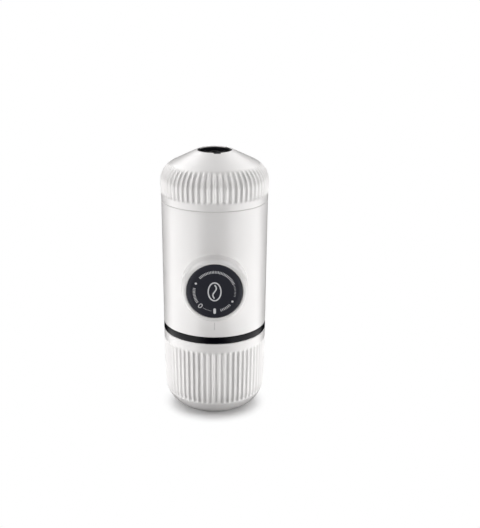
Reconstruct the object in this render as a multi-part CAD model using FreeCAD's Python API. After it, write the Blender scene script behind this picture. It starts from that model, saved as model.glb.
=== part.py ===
"""Handheld manual espresso maker: every piece as its own solid, written to parts/ as STEP.

Z runs up the machine from the base of its cup, which is the origin, and the piston knob faces -Y.
The machine stands on its drinking cup. Upwards follow the water tank inside that cup, the sleeve that
holds the hand pump, the group head with the coffee basket, and the fluted cap with the nozzle.
Lengths are in millimetres and angles in degrees.
"""
import FreeCAD, Part
import math
import os

V = FreeCAD.Vector

# Gaps between pieces
seam = 0.15                 # parting line seen between two outer pieces
slip_fit = 0.3              # pieces that part by hand: cup and tank, screwed joints
close_fit = 0.05            # pieces that are assembled for good
nest_gap = 0.1              # a moulding that nests inside another
sliding_fit = 0.15          # piston sleeve in its bush, knob on its rod
seal_gap = 0.2              # over a gasket that is not yet squeezed

# Outer form
edge_break = 0.3            # small chamfer on the rims beside a seam
cup_height = 49.05
collar_height = 3.95
body_height = 73.8
head_height = 28.75
cup_flare = 0.5             # the rim is this much wider than the foot, in radius
body_flare = 0.4
head_flare = 0.4

# Flutes of the cup and the head
flute_count = 60
flute_width = 1.35
flute_depth = 0.8
flute_cup_margin = 5.2      # from the rim of the cup down to the flutes
flute_head_margin = 3.65    # from the rim of the head up to the flutes
flute_foot_angle = 17.5     # round the foot of the cup, below its side
flute_shoulder_angle = 56.6  # round the shoulder of the head, above its side

# Cup
cup_wall = 1.8
cup_foot_radius = 16.4

# Water tank, its collar and its gasket
tank_radius = 27.6
tank_wall = 2.0
tank_shoulder = 1.4         # step from the tank to its threaded neck
tank_neck_wall = 2.6
tank_neck_height = 12.0
collar_lip = 1.15
tank_gasket_height = 1.8
tank_gasket_margin = 0.25

# Sleeve of the body, with the turret round the piston
body_wall = 1.9
knob_height = 31.25         # pump axis above the lower rim of the sleeve
knob_reach = 40.0           # knob face from the machine's axis
knob_gap = 0.4              # under the knob's skirt
knob_side_gap = 0.25        # round the knob, in the mouth of the turret
knob_proud = 0.5            # knob face in front of the turret's rim
turret_rim = 2.8            # turret beyond the knob, in radius
turret_draft = 1.0
turret_root_fillet = 0.8
turret_lip_round = 2.0

# Knob
knob_radius = 15.5
knob_thickness = 2.8
knob_plate = 1.4
knob_bevel_width = 2.1
knob_bevel_height = 0.35
knob_edge_round = 0.3
knob_skirt_wall = 1.15

# Piston sleeve and its bayonet
sleeve_radius = 12.0
sleeve_wall = 1.6
sleeve_length = 28.7
hub_radius = 7.0
hub_length = 4.2
rod_seat_radius = 5.8
rod_seat_depth = 1.2
lug_height = 1.4
lug_length = 1.5
lug_angle = 28.0
lug_gap = 0.2
notch_angle = 34.0
bush_wall = 3.05
bush_length = 15.8
bush_ledge = 1.4

# Plunger
piston_travel = 18.0
rod_radius = 4.0
rod_flange_radius = 5.5
rod_flange_thickness = 1.05
rod_tail_radius = 2.5
rod_tail_length = 6.0
clip_groove_depth = 0.5
clip_radius = 6.5
clip_thickness = 0.8
clip_opening_angle = 110.0
plunger_front = 4.0         # plunger head's front face behind the machine's axis
plunger_length = 8.5
plunger_clearance = 0.15
piston_seal_section = 1.35
piston_seal_groove = 1.9
piston_seal_inset = 2.2

# Pump block
liner_bore = 5.0            # radius
liner_wall = 1.6
liner_lead = 2.0            # liner beyond the plunger's longest reach
chamber_gap = 0.4
chamber_depth = 1.7
block_height = 39.0
housing_radius = 9.4
housing_front = 6.5
housing_back_wall = 3.4
housing_flange_width = 0.6
housing_flange_thickness = 1.5
column_radius = 7.0
post_radius = 3.2
post_places = [(18.8, -5.0), (14.5, 13.0)]   # on the +X side; mirrored to -X
plate_thickness = 2.0

# Return spring and outlet spring, wound from flat-sided wire
return_spring_radius = 8.6
return_spring_wire = 1.2
return_spring_turns = 7
outlet_spring_radius = 2.6
outlet_spring_wire = 0.5
outlet_spring_turns = 5

# Silicone umbrella valves
umbrella_radius = 3.8
umbrella_thickness = 1.2
umbrella_stem_radius = 0.85
umbrella_bulb_radius = 1.3
umbrella_bulb_length = 1.1
vent_place = (-14.0, -8.0)
inlet_pocket_radius = 4.4
inlet_pocket_depth = 6.0
inlet_passage_radius = 1.3
inlet_port_radius = 0.7
inlet_port_circle = 2.2
inlet_port_count = 4

# Outlet valve
outlet_pocket_radius = 4.6
outlet_pocket_floor = 0.9
outlet_passage_radius = 1.5
poppet_radius = 3.6
poppet_thickness = 2.0
poppet_stem_radius = 1.2
poppet_stem_length = 3.8
valve_cap_height = 3.8
valve_cap_bore = 1.6

# Face seals of the two ports
port_seal_radius = 5.7
port_seal_section = 1.2
port_seal_groove_width = 1.4

# Screws of the pump block
screw_radius = 1.0
screw_head_radius = 2.4
screw_head_height = 1.6
screw_length = 8.0
screw_sink = 1.8
screw_hole_radius = 1.2

# Tank socket and group head
socket_deck = 3.0
group_deck = 3.0
group_wall = 3.2
group_flange_thickness = 3.0
group_neck_height = 11.9
group_gasket_height = 4.2
group_gasket_width = 3.5
screen_boss_radius = 4.0
screen_boss_height = 1.4
screen_skirt = 2.2
screen_sheet = 0.8
screen_screw_radius = 1.25
screen_screw_length = 3.4   # into the boss
screen_screw_head_radius = 2.8
screen_screw_head_height = 1.6

# Coffee basket and its perforated plate
basket_fit = 0.4
basket_flange_width = 2.2
basket_flange_thickness = 2.0
basket_wall = 1.0
basket_height = 17.8
basket_lip = 1.7
basket_lip_thickness = 1.2
basket_plate = 0.5
hole_radius = 0.8
hole_pitch = 4.4
hole_margin = 2.0

# Scoop, kept inside the basket
scoop_radius = 14.8
scoop_height = 14.1
scoop_wall = 1.2
scoop_offset = 2.6
scoop_tab_width = 12.0
scoop_tab_thickness = 1.6
scoop_tab_reach = 18.4

# Head shell, its liner and the nozzle
head_wall = 2.4
shoulder_bend = 12.0
shoulder_angle = 64.0       # from the side of the head up to the straight slope
mouth_radius = 9.75
liner_skirt_wall = 2.2
liner_foot_gap = 0.3
liner_thread_headroom = 0.6
press_ring_width = 2.0
press_ring_overhang = 0.4
press_ring_root = 5.0       # above the neck of the group head
funnel_rim = 6.0            # above the neck of the group head
funnel_top_radius = 11.6
funnel_top_drop = 6.8       # below the mouth
key_count = 3
key_angle = 20.8
key_height = 0.75
key_turn = 8.0              # first key from the front, anticlockwise from above
key_drop = 0.7              # key tops below the mouth
nozzle_flange_thickness = 1.2
nozzle_flange_width = 1.55
nozzle_wall = 1.15
nozzle_drop = 0.7           # collar rim below the mouth
spout_radius = 3.4
spout_bore = 1.8
spout_drop = 1.7
web_thickness = 1.6
web_fall = 1.3
fin_count = 4
fin_thickness = 1.0
fin_drop = 2.4

# Heights of the outer pieces
collar_low = cup_height + seam
collar_high = collar_low + collar_height
body_low = collar_high + seam
body_high = body_low + body_height
head_low = body_high + seam
head_high = head_low + head_height

# Radii of the outer pieces
cup_bore = tank_radius + slip_fit
cup_foot = cup_bore + cup_wall
lower_seam_radius = cup_foot + cup_flare
upper_seam_radius = lower_seam_radius + body_flare
shoulder_radius = upper_seam_radius + head_flare
foot_centre = cup_foot - cup_foot_radius
body_bore = lower_seam_radius - body_wall
nested_radius = body_bore - nest_gap

# Tank and its socket
tank_low = cup_wall + slip_fit
shoulder_height = collar_high - collar_lip
neck_radius = tank_radius - tank_shoulder
neck_bore = neck_radius - tank_neck_wall
neck_high = shoulder_height + tank_neck_height
socket_bore = neck_radius + slip_fit
deck_low = neck_high + tank_gasket_height + seal_gap
block_low = deck_low + socket_deck
block_high = block_low + block_height
group_floor = block_high + group_deck

# Pump, measured outwards along its own axis from the machine's axis
pump_z = body_low + knob_height
knob_back = knob_reach - knob_thickness
disc_front = knob_reach - knob_plate
turret_face = knob_reach - knob_proud
bush_front = knob_back - knob_gap
ledge_back = bush_front - bush_ledge
groove_back = ledge_back - lug_length - 2 * lug_gap
sleeve_back = knob_back - sleeve_length
hub_back = knob_back - hub_length
rod_seat = disc_front - rod_seat_depth
lug_radius = sleeve_radius + lug_height
groove_radius = lug_radius + lug_gap
bush_bore = sleeve_radius + sliding_fit
bush_radius = bush_bore + bush_wall
plunger_back = -plunger_front - plunger_length
liner_back = plunger_back - chamber_gap
chamber_back = liner_back - chamber_depth
port_y = -(liner_back + chamber_back) / 2
liner_radius = liner_bore + liner_wall
plunger_radius = liner_bore - plunger_clearance
seal_outer_radius = liner_bore - close_fit
outlet_floor = pump_z + housing_radius + outlet_pocket_floor

# Group head and basket
group_neck = shoulder_radius - head_wall - nest_gap - liner_skirt_wall - slip_fit
group_bore = group_neck - group_wall
group_high = body_high + group_neck_height
gasket_outer = group_bore - nest_gap
gasket_inner = gasket_outer - group_gasket_width
gasket_high = group_floor + group_gasket_height
basket_low = gasket_high + seal_gap
basket_high = basket_low + basket_height
basket_flange = group_bore - basket_fit
basket_radius = basket_flange - basket_flange_width
basket_bore = basket_radius - basket_wall
screen_high = group_floor + nest_gap + screen_skirt
screen_screw_seat = screen_high + close_fit
screen_screw_high = screen_screw_seat + screen_screw_head_height
scoop_low = screen_screw_high + slip_fit

# Head
shell_bore = shoulder_radius - head_wall
bend_centre = shoulder_radius - shoulder_bend
slope = math.tan(math.radians(90.0 - shoulder_angle))
bend_end_radius = bend_centre + shoulder_bend * math.cos(math.radians(shoulder_angle))
bend_rise = shoulder_bend * math.sin(math.radians(shoulder_angle))
bend_z = head_high - (bend_end_radius - mouth_radius) * slope - bend_rise
liner_outer = shell_bore - nest_gap
liner_mouth = mouth_radius - close_fit
collar_radius = liner_mouth - nest_gap
first_key = -90.0 + key_turn


def on_arc(centre_r, centre_z, radius, angle):
    """Point in (radius, height) on an arc, the angle measured upwards from straight outwards."""
    turn = math.radians(angle)
    return (centre_r + radius * math.cos(turn), centre_z + radius * math.sin(turn))


def tangent_angle(centre_r, centre_z, radius, r, z):
    """Angle on an arc at which a straight line from a point outside it runs into it without a kink."""
    towards = math.atan2(z - centre_z, r - centre_r)
    spread = math.acos(radius / math.hypot(r - centre_r, z - centre_z))
    return math.degrees(towards - math.copysign(spread, towards))


def bend(centre_r, centre_z, radius, start, end):
    """Outline step along an arc, from one angle on it to another."""
    return on_arc(centre_r, centre_z, radius, (start + end) / 2) + on_arc(centre_r, centre_z, radius, end)


def face_of(outline):
    """Face in the XZ plane inside a closed outline of (r, z) points; (via_r, via_z, r, z) ends an arc."""
    here = V(outline[0][0], 0, outline[0][1])
    edges = []
    for step in outline[1:] + outline[:1]:
        there = V(step[-2], 0, step[-1])
        if len(step) == 4:
            edges.append(Part.Arc(here, V(step[0], 0, step[1]), there).toShape())
        else:
            edges.append(Part.LineSegment(here, there).toShape())
        here = there
    return Part.Face(Part.Wire(edges))


def turned(outline):
    """Solid turned about Z from an outline."""
    return face_of(outline).revolve(V(0, 0, 0), V(0, 0, 1), 360)


def sector(inner, outer, low, high, middle, width):
    """Piece of a ring about Z, centred on an angle."""
    section = face_of([(inner, low), (outer, low), (outer, high), (inner, high)])
    section.rotate(V(0, 0, 0), V(0, 0, 1), middle - width / 2)
    return section.revolve(V(0, 0, 0), V(0, 0, 1), width)


def cylinder(radius, low, high, x=0.0, y=0.0):
    """Upright cylinder between two heights."""
    return Part.makeCylinder(radius, high - low, V(x, y, low))


def ring(inner, outer, low, high, x=0.0, y=0.0):
    """Upright tube between two heights."""
    return cylinder(outer, low, high, x, y).cut(cylinder(inner, low, high, x, y))


def o_ring(radius, section, height, x=0.0, y=0.0):
    """Ring of round section about an upright axis, lying centred at a height."""
    return Part.makeTorus(radius, section / 2, V(x, y, height))


def on_pump_axis(shape):
    """Turn a piece that was made along Z so that it points out of the machine's front."""
    placed = shape.copy()
    placed.rotate(V(0, 0, 0), V(1, 0, 0), 90)
    placed.translate(V(0, 0, pump_z))
    return placed


def around(shape, angles):
    """Copies of a shape turned about Z."""
    copies = []
    for angle in angles:
        copy = shape.copy()
        copy.rotate(V(0, 0, 0), V(0, 0, 1), angle)
        copies.append(copy)
    return copies


def coil(radius, wire, low, high, turns, x=0.0, y=0.0):
    """Open coil of square wire between two heights."""
    climb = high - low - wire
    path = Part.makeHelix(climb / turns, climb, radius)
    half = wire / 2
    square = [(-half, -half), (half, -half), (half, half), (-half, half)]
    corners = [V(radius + out, 0, up) for out, up in square]
    section = Part.makePolygon(corners + corners[:1])
    spring = Part.Wire(path).makePipeShell([section], True, True)
    spring.translate(V(x, y, low + half))
    return spring


def flute_blades(outline):
    """Cutters for the grooves between the flutes, with a flute's crest at the front."""
    blade = face_of(outline).extrude(V(0, flute_width, 0))
    blade.translate(V(0, -flute_width / 2, 0))
    pitch = 360.0 / flute_count
    return around(blade, [-90.0 + (index + 0.5) * pitch for index in range(flute_count)])


def post_centres():
    """The four posts of the pump block, which the screws enter."""
    return [(side * x, y) for x, y in post_places for side in (1, -1)]


def hole_grid(reach, keep_clear):
    """Centres of a triangular pattern of holes inside one circle and outside another."""
    rows = int(reach / hole_pitch) + 1
    centres = []
    for row in range(-rows, rows + 1):
        for column in range(-rows, rows + 1):
            x = (column + 0.5 * (row % 2)) * hole_pitch
            y = row * hole_pitch * math.sqrt(3) / 2
            if keep_clear <= math.hypot(x, y) <= reach:
                centres.append((x, y))
    return centres


def six_sided_holes(centres, low, high):
    """Upright six-sided cutters of the perforation's size."""
    corners = [V(hole_radius * math.cos(k * math.pi / 3), hole_radius * math.sin(k * math.pi / 3), low)
               for k in range(6)]
    face = Part.Face(Part.makePolygon(corners + corners[:1]))
    cutters = []
    for x, y in centres:
        cutter = face.extrude(V(0, 0, high - low))
        cutter.translate(V(x, y, 0))
        cutters.append(cutter)
    return cutters


def cup():
    """Drinking cup: thin wall, rounded foot, flutes that fade out below the rim and round the foot."""
    foot = (foot_centre, cup_foot_radius)
    rim = (lower_seam_radius, cup_height - edge_break)
    side = tangent_angle(*foot, cup_foot_radius, *rim)
    wall = turned([
        (0, 0),
        (foot_centre, 0),
        bend(*foot, cup_foot_radius, -90, side),
        rim,
        (lower_seam_radius - edge_break, cup_height),
        (cup_bore, cup_height),
        (cup_bore, cup_foot_radius),
        bend(*foot, cup_foot_radius - cup_wall, 0, -90),
        (0, cup_wall),
    ])
    flute_top = cup_height - flute_cup_margin
    groove_radius_at_foot = cup_foot_radius - flute_depth
    groove_top = (lower_seam_radius - flute_depth, flute_top - flute_depth)
    groove_side = tangent_angle(*foot, groove_radius_at_foot, *groove_top)
    blades = flute_blades([
        groove_top,
        on_arc(*foot, groove_radius_at_foot, groove_side),
        bend(*foot, groove_radius_at_foot, groove_side, -flute_foot_angle),
        on_arc(*foot, cup_foot_radius + flute_depth, -flute_foot_angle - 2),
        (lower_seam_radius + flute_depth, cup_foot_radius),
        (lower_seam_radius + flute_depth, flute_top + flute_depth),
    ])
    return wall.cut(blades)


def water_tank():
    """Clear tank: rounded like the cup, with a shoulder under its threaded neck."""
    outer_bend = cup_foot_radius - cup_wall - slip_fit
    inner_radius = tank_radius - tank_wall
    return turned([
        (0, tank_low),
        (foot_centre, tank_low),
        bend(foot_centre, cup_foot_radius, outer_bend, -90, 0),
        (tank_radius, shoulder_height),
        (neck_radius, shoulder_height),
        (neck_radius, neck_high),
        (neck_bore, neck_high),
        (neck_bore, shoulder_height - tank_wall),
        (inner_radius, shoulder_height - 2 * tank_wall),
        (inner_radius, cup_foot_radius),
        bend(foot_centre, cup_foot_radius, outer_bend - tank_wall, 0, -90),
        (0, tank_low + tank_wall),
    ])


def tank_collar():
    """Black ring round the tank's shoulder, seen between the cup and the body."""
    return turned([
        (tank_radius + close_fit, collar_low),
        (lower_seam_radius - edge_break, collar_low),
        (lower_seam_radius, collar_low + edge_break),
        (lower_seam_radius, collar_high - edge_break),
        (lower_seam_radius - edge_break, collar_high),
        (neck_radius + close_fit, collar_high),
        (neck_radius + close_fit, shoulder_height),
        (tank_radius + close_fit, shoulder_height),
    ])


def tank_gasket():
    """Flat silicone ring on the rim of the tank's neck."""
    inner = neck_bore + tank_gasket_margin
    outer = neck_radius - tank_gasket_margin
    return ring(inner, outer, neck_high, neck_high + tank_gasket_height)


def tank_socket():
    """Threaded socket for the tank, with the valve deck that carries the pump block."""
    socket = turned([
        (socket_bore, body_low + slip_fit),
        (nested_radius, body_low + slip_fit),
        (nested_radius, block_low),
        (0, block_low),
        (0, deck_low),
        (socket_bore, deck_low),
    ])
    stem_hole = umbrella_stem_radius + nest_gap
    cuts = [cylinder(stem_hole, deck_low, block_low, 0, port_y)]
    cuts.append(cylinder(stem_hole, deck_low, block_low, *vent_place))
    for index in range(inlet_port_count):
        turn = math.radians(45 + index * 360 / inlet_port_count)
        x = inlet_port_circle * math.cos(turn)
        y = port_y + inlet_port_circle * math.sin(turn)
        cuts.append(cylinder(inlet_port_radius, deck_low, block_low, x, y))
    for x, y in post_centres():
        cuts.append(cylinder(screw_head_radius + seal_gap, deck_low, deck_low + screw_sink, x, y))
        cuts.append(cylinder(screw_hole_radius, deck_low, block_low, x, y))
    return socket.cut(cuts)


def body_shell():
    """White sleeve round the pump, with the turret that holds the piston's bush."""
    sleeve = turned([
        (0, body_low),
        (lower_seam_radius - edge_break, body_low),
        (lower_seam_radius, body_low + edge_break),
        (upper_seam_radius, body_high - edge_break),
        (upper_seam_radius - edge_break, body_high),
        (0, body_high),
    ])
    rim = knob_radius + turret_rim
    root = rim + (turret_face - sleeve_back) * math.tan(math.radians(turret_draft))
    turret = Part.makeCone(root, rim, turret_face - sleeve_back, V(0, 0, sleeve_back))
    front_edges = [edge for edge in turret.Edges if edge.BoundBox.ZMin > turret_face - turret_lip_round]
    turret = turret.makeFillet(turret_lip_round, front_edges)
    blank = sleeve.fuse(on_pump_axis(turret))
    root_edges = [edge for edge in blank.Edges if isinstance(edge.Curve, Part.BSplineCurve)]
    blank = blank.makeFillet(turret_root_fillet, root_edges)
    cavity = cylinder(body_bore, body_low, body_high)
    bore = on_pump_axis(cylinder(bush_radius + close_fit, 0, turret_face))
    mouth = on_pump_axis(cylinder(knob_radius + knob_side_gap, bush_front, turret_face))
    return blank.cut([cavity, bore, mouth])


def guide_bush():
    """Bush in the turret: a bore for the piston sleeve and a bayonet ledge with two notches."""
    bush = turned([
        (bush_bore, bush_front - bush_length),
        (bush_radius, bush_front - bush_length),
        (bush_radius, bush_front),
        (bush_bore, bush_front),
        (bush_bore, ledge_back),
        (groove_radius, ledge_back),
        (groove_radius, groove_back),
        (bush_bore, groove_back),
    ])
    notches = [sector(bush_bore - lug_gap, groove_radius, ledge_back, bush_front, middle, notch_angle)
               for middle in (0, 180)]
    return on_pump_axis(bush.cut(notches))


def piston_sleeve():
    """Sliding sleeve under the knob, with the hub on the plunger rod and two bayonet lugs."""
    inner = sleeve_radius - sleeve_wall
    bore = rod_radius + sliding_fit
    sleeve = turned([
        (bore, hub_back),
        (hub_radius, hub_back),
        (hub_radius, knob_back),
        (inner, knob_back),
        (inner, sleeve_back),
        (sleeve_radius, sleeve_back),
        (sleeve_radius, knob_back),
        (knob_radius - knob_skirt_wall - close_fit, knob_back),
        (knob_radius - knob_skirt_wall - close_fit, disc_front),
        (rod_seat_radius, disc_front),
        (rod_seat_radius, rod_seat),
        (bore, rod_seat),
    ])
    lug_front = ledge_back - lug_gap
    lug_root = sleeve_radius - sleeve_wall / 2
    lugs = [sector(lug_root, lug_radius, lug_front - lug_length, lug_front, middle, lug_angle)
            for middle in (0, 180)]
    return on_pump_axis(sleeve.fuse(lugs))


def piston_cap():
    """Face of the knob, with a skirt round the sleeve's disc, a shallow bevel and a rounded edge."""
    skirt = knob_radius - knob_skirt_wall
    fall = math.atan2(knob_bevel_height, knob_bevel_width)
    bend_r = knob_radius - knob_edge_round
    bevel_z = knob_reach - (bend_r - knob_radius + knob_bevel_width) * math.tan(fall)
    bend_s = bevel_z - knob_edge_round / math.cos(fall)
    return on_pump_axis(turned([
        (0, disc_front),
        (skirt, disc_front),
        (skirt, knob_back),
        (knob_radius, knob_back),
        (knob_radius, bend_s),
        bend(bend_r, bend_s, knob_edge_round, 0, 90 - math.degrees(fall)),
        (knob_radius - knob_bevel_width, knob_reach),
        (0, knob_reach),
    ]))


def plunger_rod():
    """Steel rod from the knob's hub to the plunger head, with a groove for its clip."""
    groove_front = hub_back - close_fit
    groove_rear = groove_front - clip_thickness - 2 * close_fit
    flange_back = rod_seat + close_fit
    groove = rod_radius - clip_groove_depth
    return on_pump_axis(turned([
        (0, -plunger_front - rod_tail_length),
        (rod_tail_radius, -plunger_front - rod_tail_length),
        (rod_tail_radius, -plunger_front),
        (rod_radius, -plunger_front),
        (rod_radius, groove_rear),
        (groove, groove_rear),
        (groove, groove_front),
        (rod_radius, groove_front),
        (rod_radius, flange_back),
        (rod_flange_radius, flange_back),
        (rod_flange_radius, flange_back + rod_flange_thickness),
        (0, flange_back + rod_flange_thickness),
    ]))


def rod_clip():
    """Open spring clip that keeps the hub on the rod."""
    front = hub_back - 2 * close_fit
    inner = rod_radius - clip_groove_depth + nest_gap
    whole = ring(inner, clip_radius, front - clip_thickness, front)
    gap = sector(0, clip_radius + 1, front - clip_thickness, front, -90, clip_opening_angle)
    return on_pump_axis(whole.cut(gap))


def seal_places():
    """Middles of the plunger's two seal grooves, along the pump axis."""
    return [plunger_back + piston_seal_inset, -plunger_front - piston_seal_inset]


def plunger_head():
    """Plunger pressed on the rod's tail, with two seal grooves."""
    blank = cylinder(plunger_radius, plunger_back, -plunger_front)
    socket_floor = -plunger_front - rod_tail_length - close_fit
    cuts = [cylinder(rod_tail_radius + close_fit, socket_floor, -plunger_front)]
    floor = seal_outer_radius - piston_seal_section - close_fit
    for middle in seal_places():
        half = piston_seal_groove / 2
        cuts.append(ring(floor, plunger_radius + 1, middle - half, middle + half))
    return on_pump_axis(blank.cut(cuts))


def piston_seals():
    """Two O-rings on the plunger."""
    radius = seal_outer_radius - piston_seal_section / 2
    return on_pump_axis(Part.makeCompound([o_ring(radius, piston_seal_section, z) for z in seal_places()]))


def cylinder_liner():
    """Polished steel tube that the plunger runs in."""
    liner_front = -plunger_front + piston_travel + liner_lead
    return on_pump_axis(ring(liner_bore, liner_radius, liner_back, liner_front))


def pump_block():
    """Pump moulding: cylinder housing, valve columns, and posts that the two decks are screwed to."""
    housing = on_pump_axis(turned([
        (0, chamber_back - housing_back_wall),
        (housing_radius, chamber_back - housing_back_wall),
        (housing_radius, housing_front - housing_flange_thickness),
        (housing_radius + housing_flange_width, housing_front - housing_flange_thickness),
        (housing_radius + housing_flange_width, housing_front),
        (0, housing_front),
    ]))
    pieces = [cylinder(column_radius, block_low, block_high, 0, port_y)]
    for x, y in post_centres():
        pieces.append(cylinder(post_radius, block_low, block_high, x, y))
    front_x, front_y = post_places[0]
    rear_x, rear_y = post_places[1]
    for side in (1, -1):
        pieces.append(plate_between((0, port_y), (side * rear_x, rear_y)))
        pieces.append(plate_between((side * rear_x, rear_y), (side * front_x, front_y)))
    block = housing.fuse(pieces)

    seal_inner = port_seal_radius - port_seal_groove_width / 2
    seal_outer = port_seal_radius + port_seal_groove_width / 2
    cuts = [on_pump_axis(cylinder(liner_radius + close_fit, liner_back, housing_front + 1))]
    cuts.append(on_pump_axis(cylinder(liner_bore, chamber_back, liner_back)))
    cuts.append(cylinder(inlet_pocket_radius, block_low, block_low + inlet_pocket_depth, 0, port_y))
    cuts.append(cylinder(inlet_passage_radius, block_low, pump_z, 0, port_y))
    cuts.append(cylinder(outlet_pocket_radius, outlet_floor, block_high, 0, port_y))
    cuts.append(cylinder(outlet_passage_radius, pump_z, block_high, 0, port_y))
    cuts.append(ring(seal_inner, seal_outer, block_low, block_low + port_seal_section, 0, port_y))
    cuts.append(ring(seal_inner, seal_outer, block_high - port_seal_section, block_high, 0, port_y))
    for x, y in post_centres():
        depth = screw_length + 1
        cuts.append(cylinder(screw_radius + close_fit, block_low, block_low + depth, x, y))
        cuts.append(cylinder(screw_radius + close_fit, block_high - depth, block_high, x, y))
    return block.cut(cuts)


def plate_between(start, end):
    """Upright stiffening plate of the pump block between two points."""
    length = math.hypot(end[0] - start[0], end[1] - start[1])
    plate = Part.makeBox(length, plate_thickness, block_height, V(0, -plate_thickness / 2, block_low))
    plate.rotate(V(0, 0, 0), V(0, 0, 1), math.degrees(math.atan2(end[1] - start[1], end[0] - start[0])))
    plate.translate(V(start[0], start[1], 0))
    return plate


def port_seals():
    """Two O-rings that seal the block's columns against the decks."""
    half = port_seal_section / 2
    return Part.makeCompound([o_ring(port_seal_radius, port_seal_section - close_fit, z, 0, port_y)
                              for z in (block_low + half, block_high - half)])


def block_screws():
    """Eight equal screws: four through each deck, into the posts."""
    up = cylinder(screw_radius, 0, screw_length).fuse(cylinder(screw_head_radius, -screw_head_height, 0))
    down = up.copy()
    down.rotate(V(0, 0, 0), V(1, 0, 0), 180)
    screws = []
    for x, y in post_centres():
        for screw, z in ((up, deck_low + screw_sink), (down, group_floor - screw_sink)):
            placed = screw.copy()
            placed.translate(V(x, y, z))
            screws.append(placed)
    return Part.makeCompound(screws)


def umbrella(low, high, flap_above):
    """Umbrella valve through a deck: a thin flap on one face and a bulb that holds it from the other."""
    flap_low = high if flap_above else low - umbrella_thickness
    bulb_low = low - umbrella_bulb_length if flap_above else high
    crown = flap_low + umbrella_thickness if flap_above else flap_low
    rim = flap_low if flap_above else flap_low + umbrella_thickness
    edge = rim + (crown - rim) / 3
    flap = turned([(0, rim), (umbrella_radius, rim), (umbrella_radius, edge), (0, crown)])
    stem = cylinder(umbrella_stem_radius, low - umbrella_bulb_length, high + umbrella_bulb_length)
    bulb = cylinder(umbrella_bulb_radius, bulb_low, bulb_low + umbrella_bulb_length)
    return flap.fuse([stem, bulb])


def inlet_valve():
    """Umbrella valve that lets water from the tank into the pump."""
    valve = umbrella(deck_low, block_low, True)
    valve.translate(V(0, port_y, 0))
    return valve


def vent_valve():
    """Umbrella valve that lets air into the tank as it empties."""
    valve = umbrella(deck_low, block_low, False)
    valve.translate(V(vent_place[0], vent_place[1], 0))
    return valve


def poppet_low():
    """Underside of the closed outlet poppet."""
    return outlet_floor + seal_gap


def valve_cap_low():
    """Underside of the plug that holds the outlet spring."""
    return block_high - seal_gap - valve_cap_height


def outlet_poppet():
    """Disc and stem that open under pump pressure."""
    low = poppet_low()
    top = low + poppet_thickness
    poppet = turned([
        (0, low),
        (poppet_radius - edge_break, low),
        (poppet_radius, low + edge_break),
        (poppet_radius, top),
        (poppet_stem_radius, top),
        (poppet_stem_radius, top + poppet_stem_length),
        (0, top + poppet_stem_length),
    ])
    poppet.translate(V(0, port_y, 0))
    return poppet


def outlet_spring():
    """Spring that closes the outlet poppet."""
    low = poppet_low() + poppet_thickness
    high = valve_cap_low()
    return coil(outlet_spring_radius, outlet_spring_wire, low, high, outlet_spring_turns, 0, port_y)


def valve_cap():
    """Plug with a bore, over the outlet spring."""
    low = valve_cap_low()
    return ring(valve_cap_bore, outlet_pocket_radius - close_fit, low, low + valve_cap_height, 0, port_y)


def return_spring():
    """Spring round the cylinder that pushes the knob out."""
    low = housing_front + nest_gap
    high = knob_back - nest_gap
    return on_pump_axis(coil(return_spring_radius, return_spring_wire, low, high, return_spring_turns))


def group_head():
    """Group head: deck over the pump block, chamber for the basket, flange in the body, threaded neck."""
    flange_high = body_high - nest_gap
    flange_low = flange_high - group_flange_thickness
    boss_high = group_floor + screen_boss_height
    screw_bore = screen_screw_radius + close_fit
    screw_floor = boss_high - screen_screw_length - close_fit
    head = turned([
        (0, block_high),
        (nested_radius, block_high),
        (nested_radius, group_floor),
        (group_neck, group_floor),
        (group_neck, flange_low),
        (nested_radius, flange_low),
        (nested_radius, flange_high),
        (group_neck, flange_high),
        (group_neck, group_high - edge_break),
        (group_neck - edge_break, group_high),
        (group_bore, group_high),
        (group_bore, group_floor),
        (screen_boss_radius, group_floor),
        (screen_boss_radius, boss_high),
        (screw_bore, boss_high),
        (screw_bore, screw_floor),
        (0, screw_floor),
    ])
    cuts = [cylinder(valve_cap_bore, block_high, group_floor, 0, port_y)]
    for x, y in post_centres():
        cuts.append(cylinder(screw_head_radius + seal_gap, group_floor - screw_sink, group_floor, x, y))
        cuts.append(cylinder(screw_hole_radius, block_high, group_floor, x, y))
    return head.cut(cuts)


def shower_screen():
    """Perforated steel dish that spreads the water over the coffee."""
    radius = gasket_inner - seal_gap
    bore = screen_screw_radius + close_fit
    low = group_floor + nest_gap
    dish = turned([
        (bore, screen_high - screen_sheet),
        (radius - screen_sheet, screen_high - screen_sheet),
        (radius - screen_sheet, low),
        (radius, low),
        (radius, screen_high - screen_sheet),
        bend(radius - screen_sheet, screen_high - screen_sheet, screen_sheet, 0, 90),
        (bore, screen_high),
    ])
    centres = hole_grid(radius - hole_margin, screen_boss_radius + hole_radius)
    return dish.cut(six_sided_holes(centres, low, screen_high + 1))


def screen_screw():
    """Screw that holds the shower screen to the boss of the group head."""
    tip = group_floor + screen_boss_height - screen_screw_length
    side = screen_screw_seat + screen_screw_head_height / 2
    return turned([
        (0, tip),
        (screen_screw_radius, tip),
        (screen_screw_radius, screen_screw_seat),
        (screen_screw_head_radius, screen_screw_seat),
        (screen_screw_head_radius, side),
        (screen_screw_head_radius / 2, screen_screw_high),
        (0, screen_screw_high),
    ])


def group_gasket():
    """Silicone ring that the basket's flange is pressed on."""
    return ring(gasket_inner, gasket_outer, group_floor, gasket_high)


def filter_basket():
    """Coffee basket, mouth down, with a flange at its mouth and a lip over its perforated plate."""
    return turned([
        (basket_bore, basket_low),
        (basket_flange, basket_low),
        (basket_flange, basket_low + basket_flange_thickness),
        (basket_radius, basket_low + basket_flange_thickness),
        (basket_radius, basket_high),
        (basket_bore - basket_lip, basket_high),
        (basket_bore - basket_lip, basket_high - basket_lip_thickness),
        (basket_bore, basket_high - basket_lip_thickness),
    ])


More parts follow.
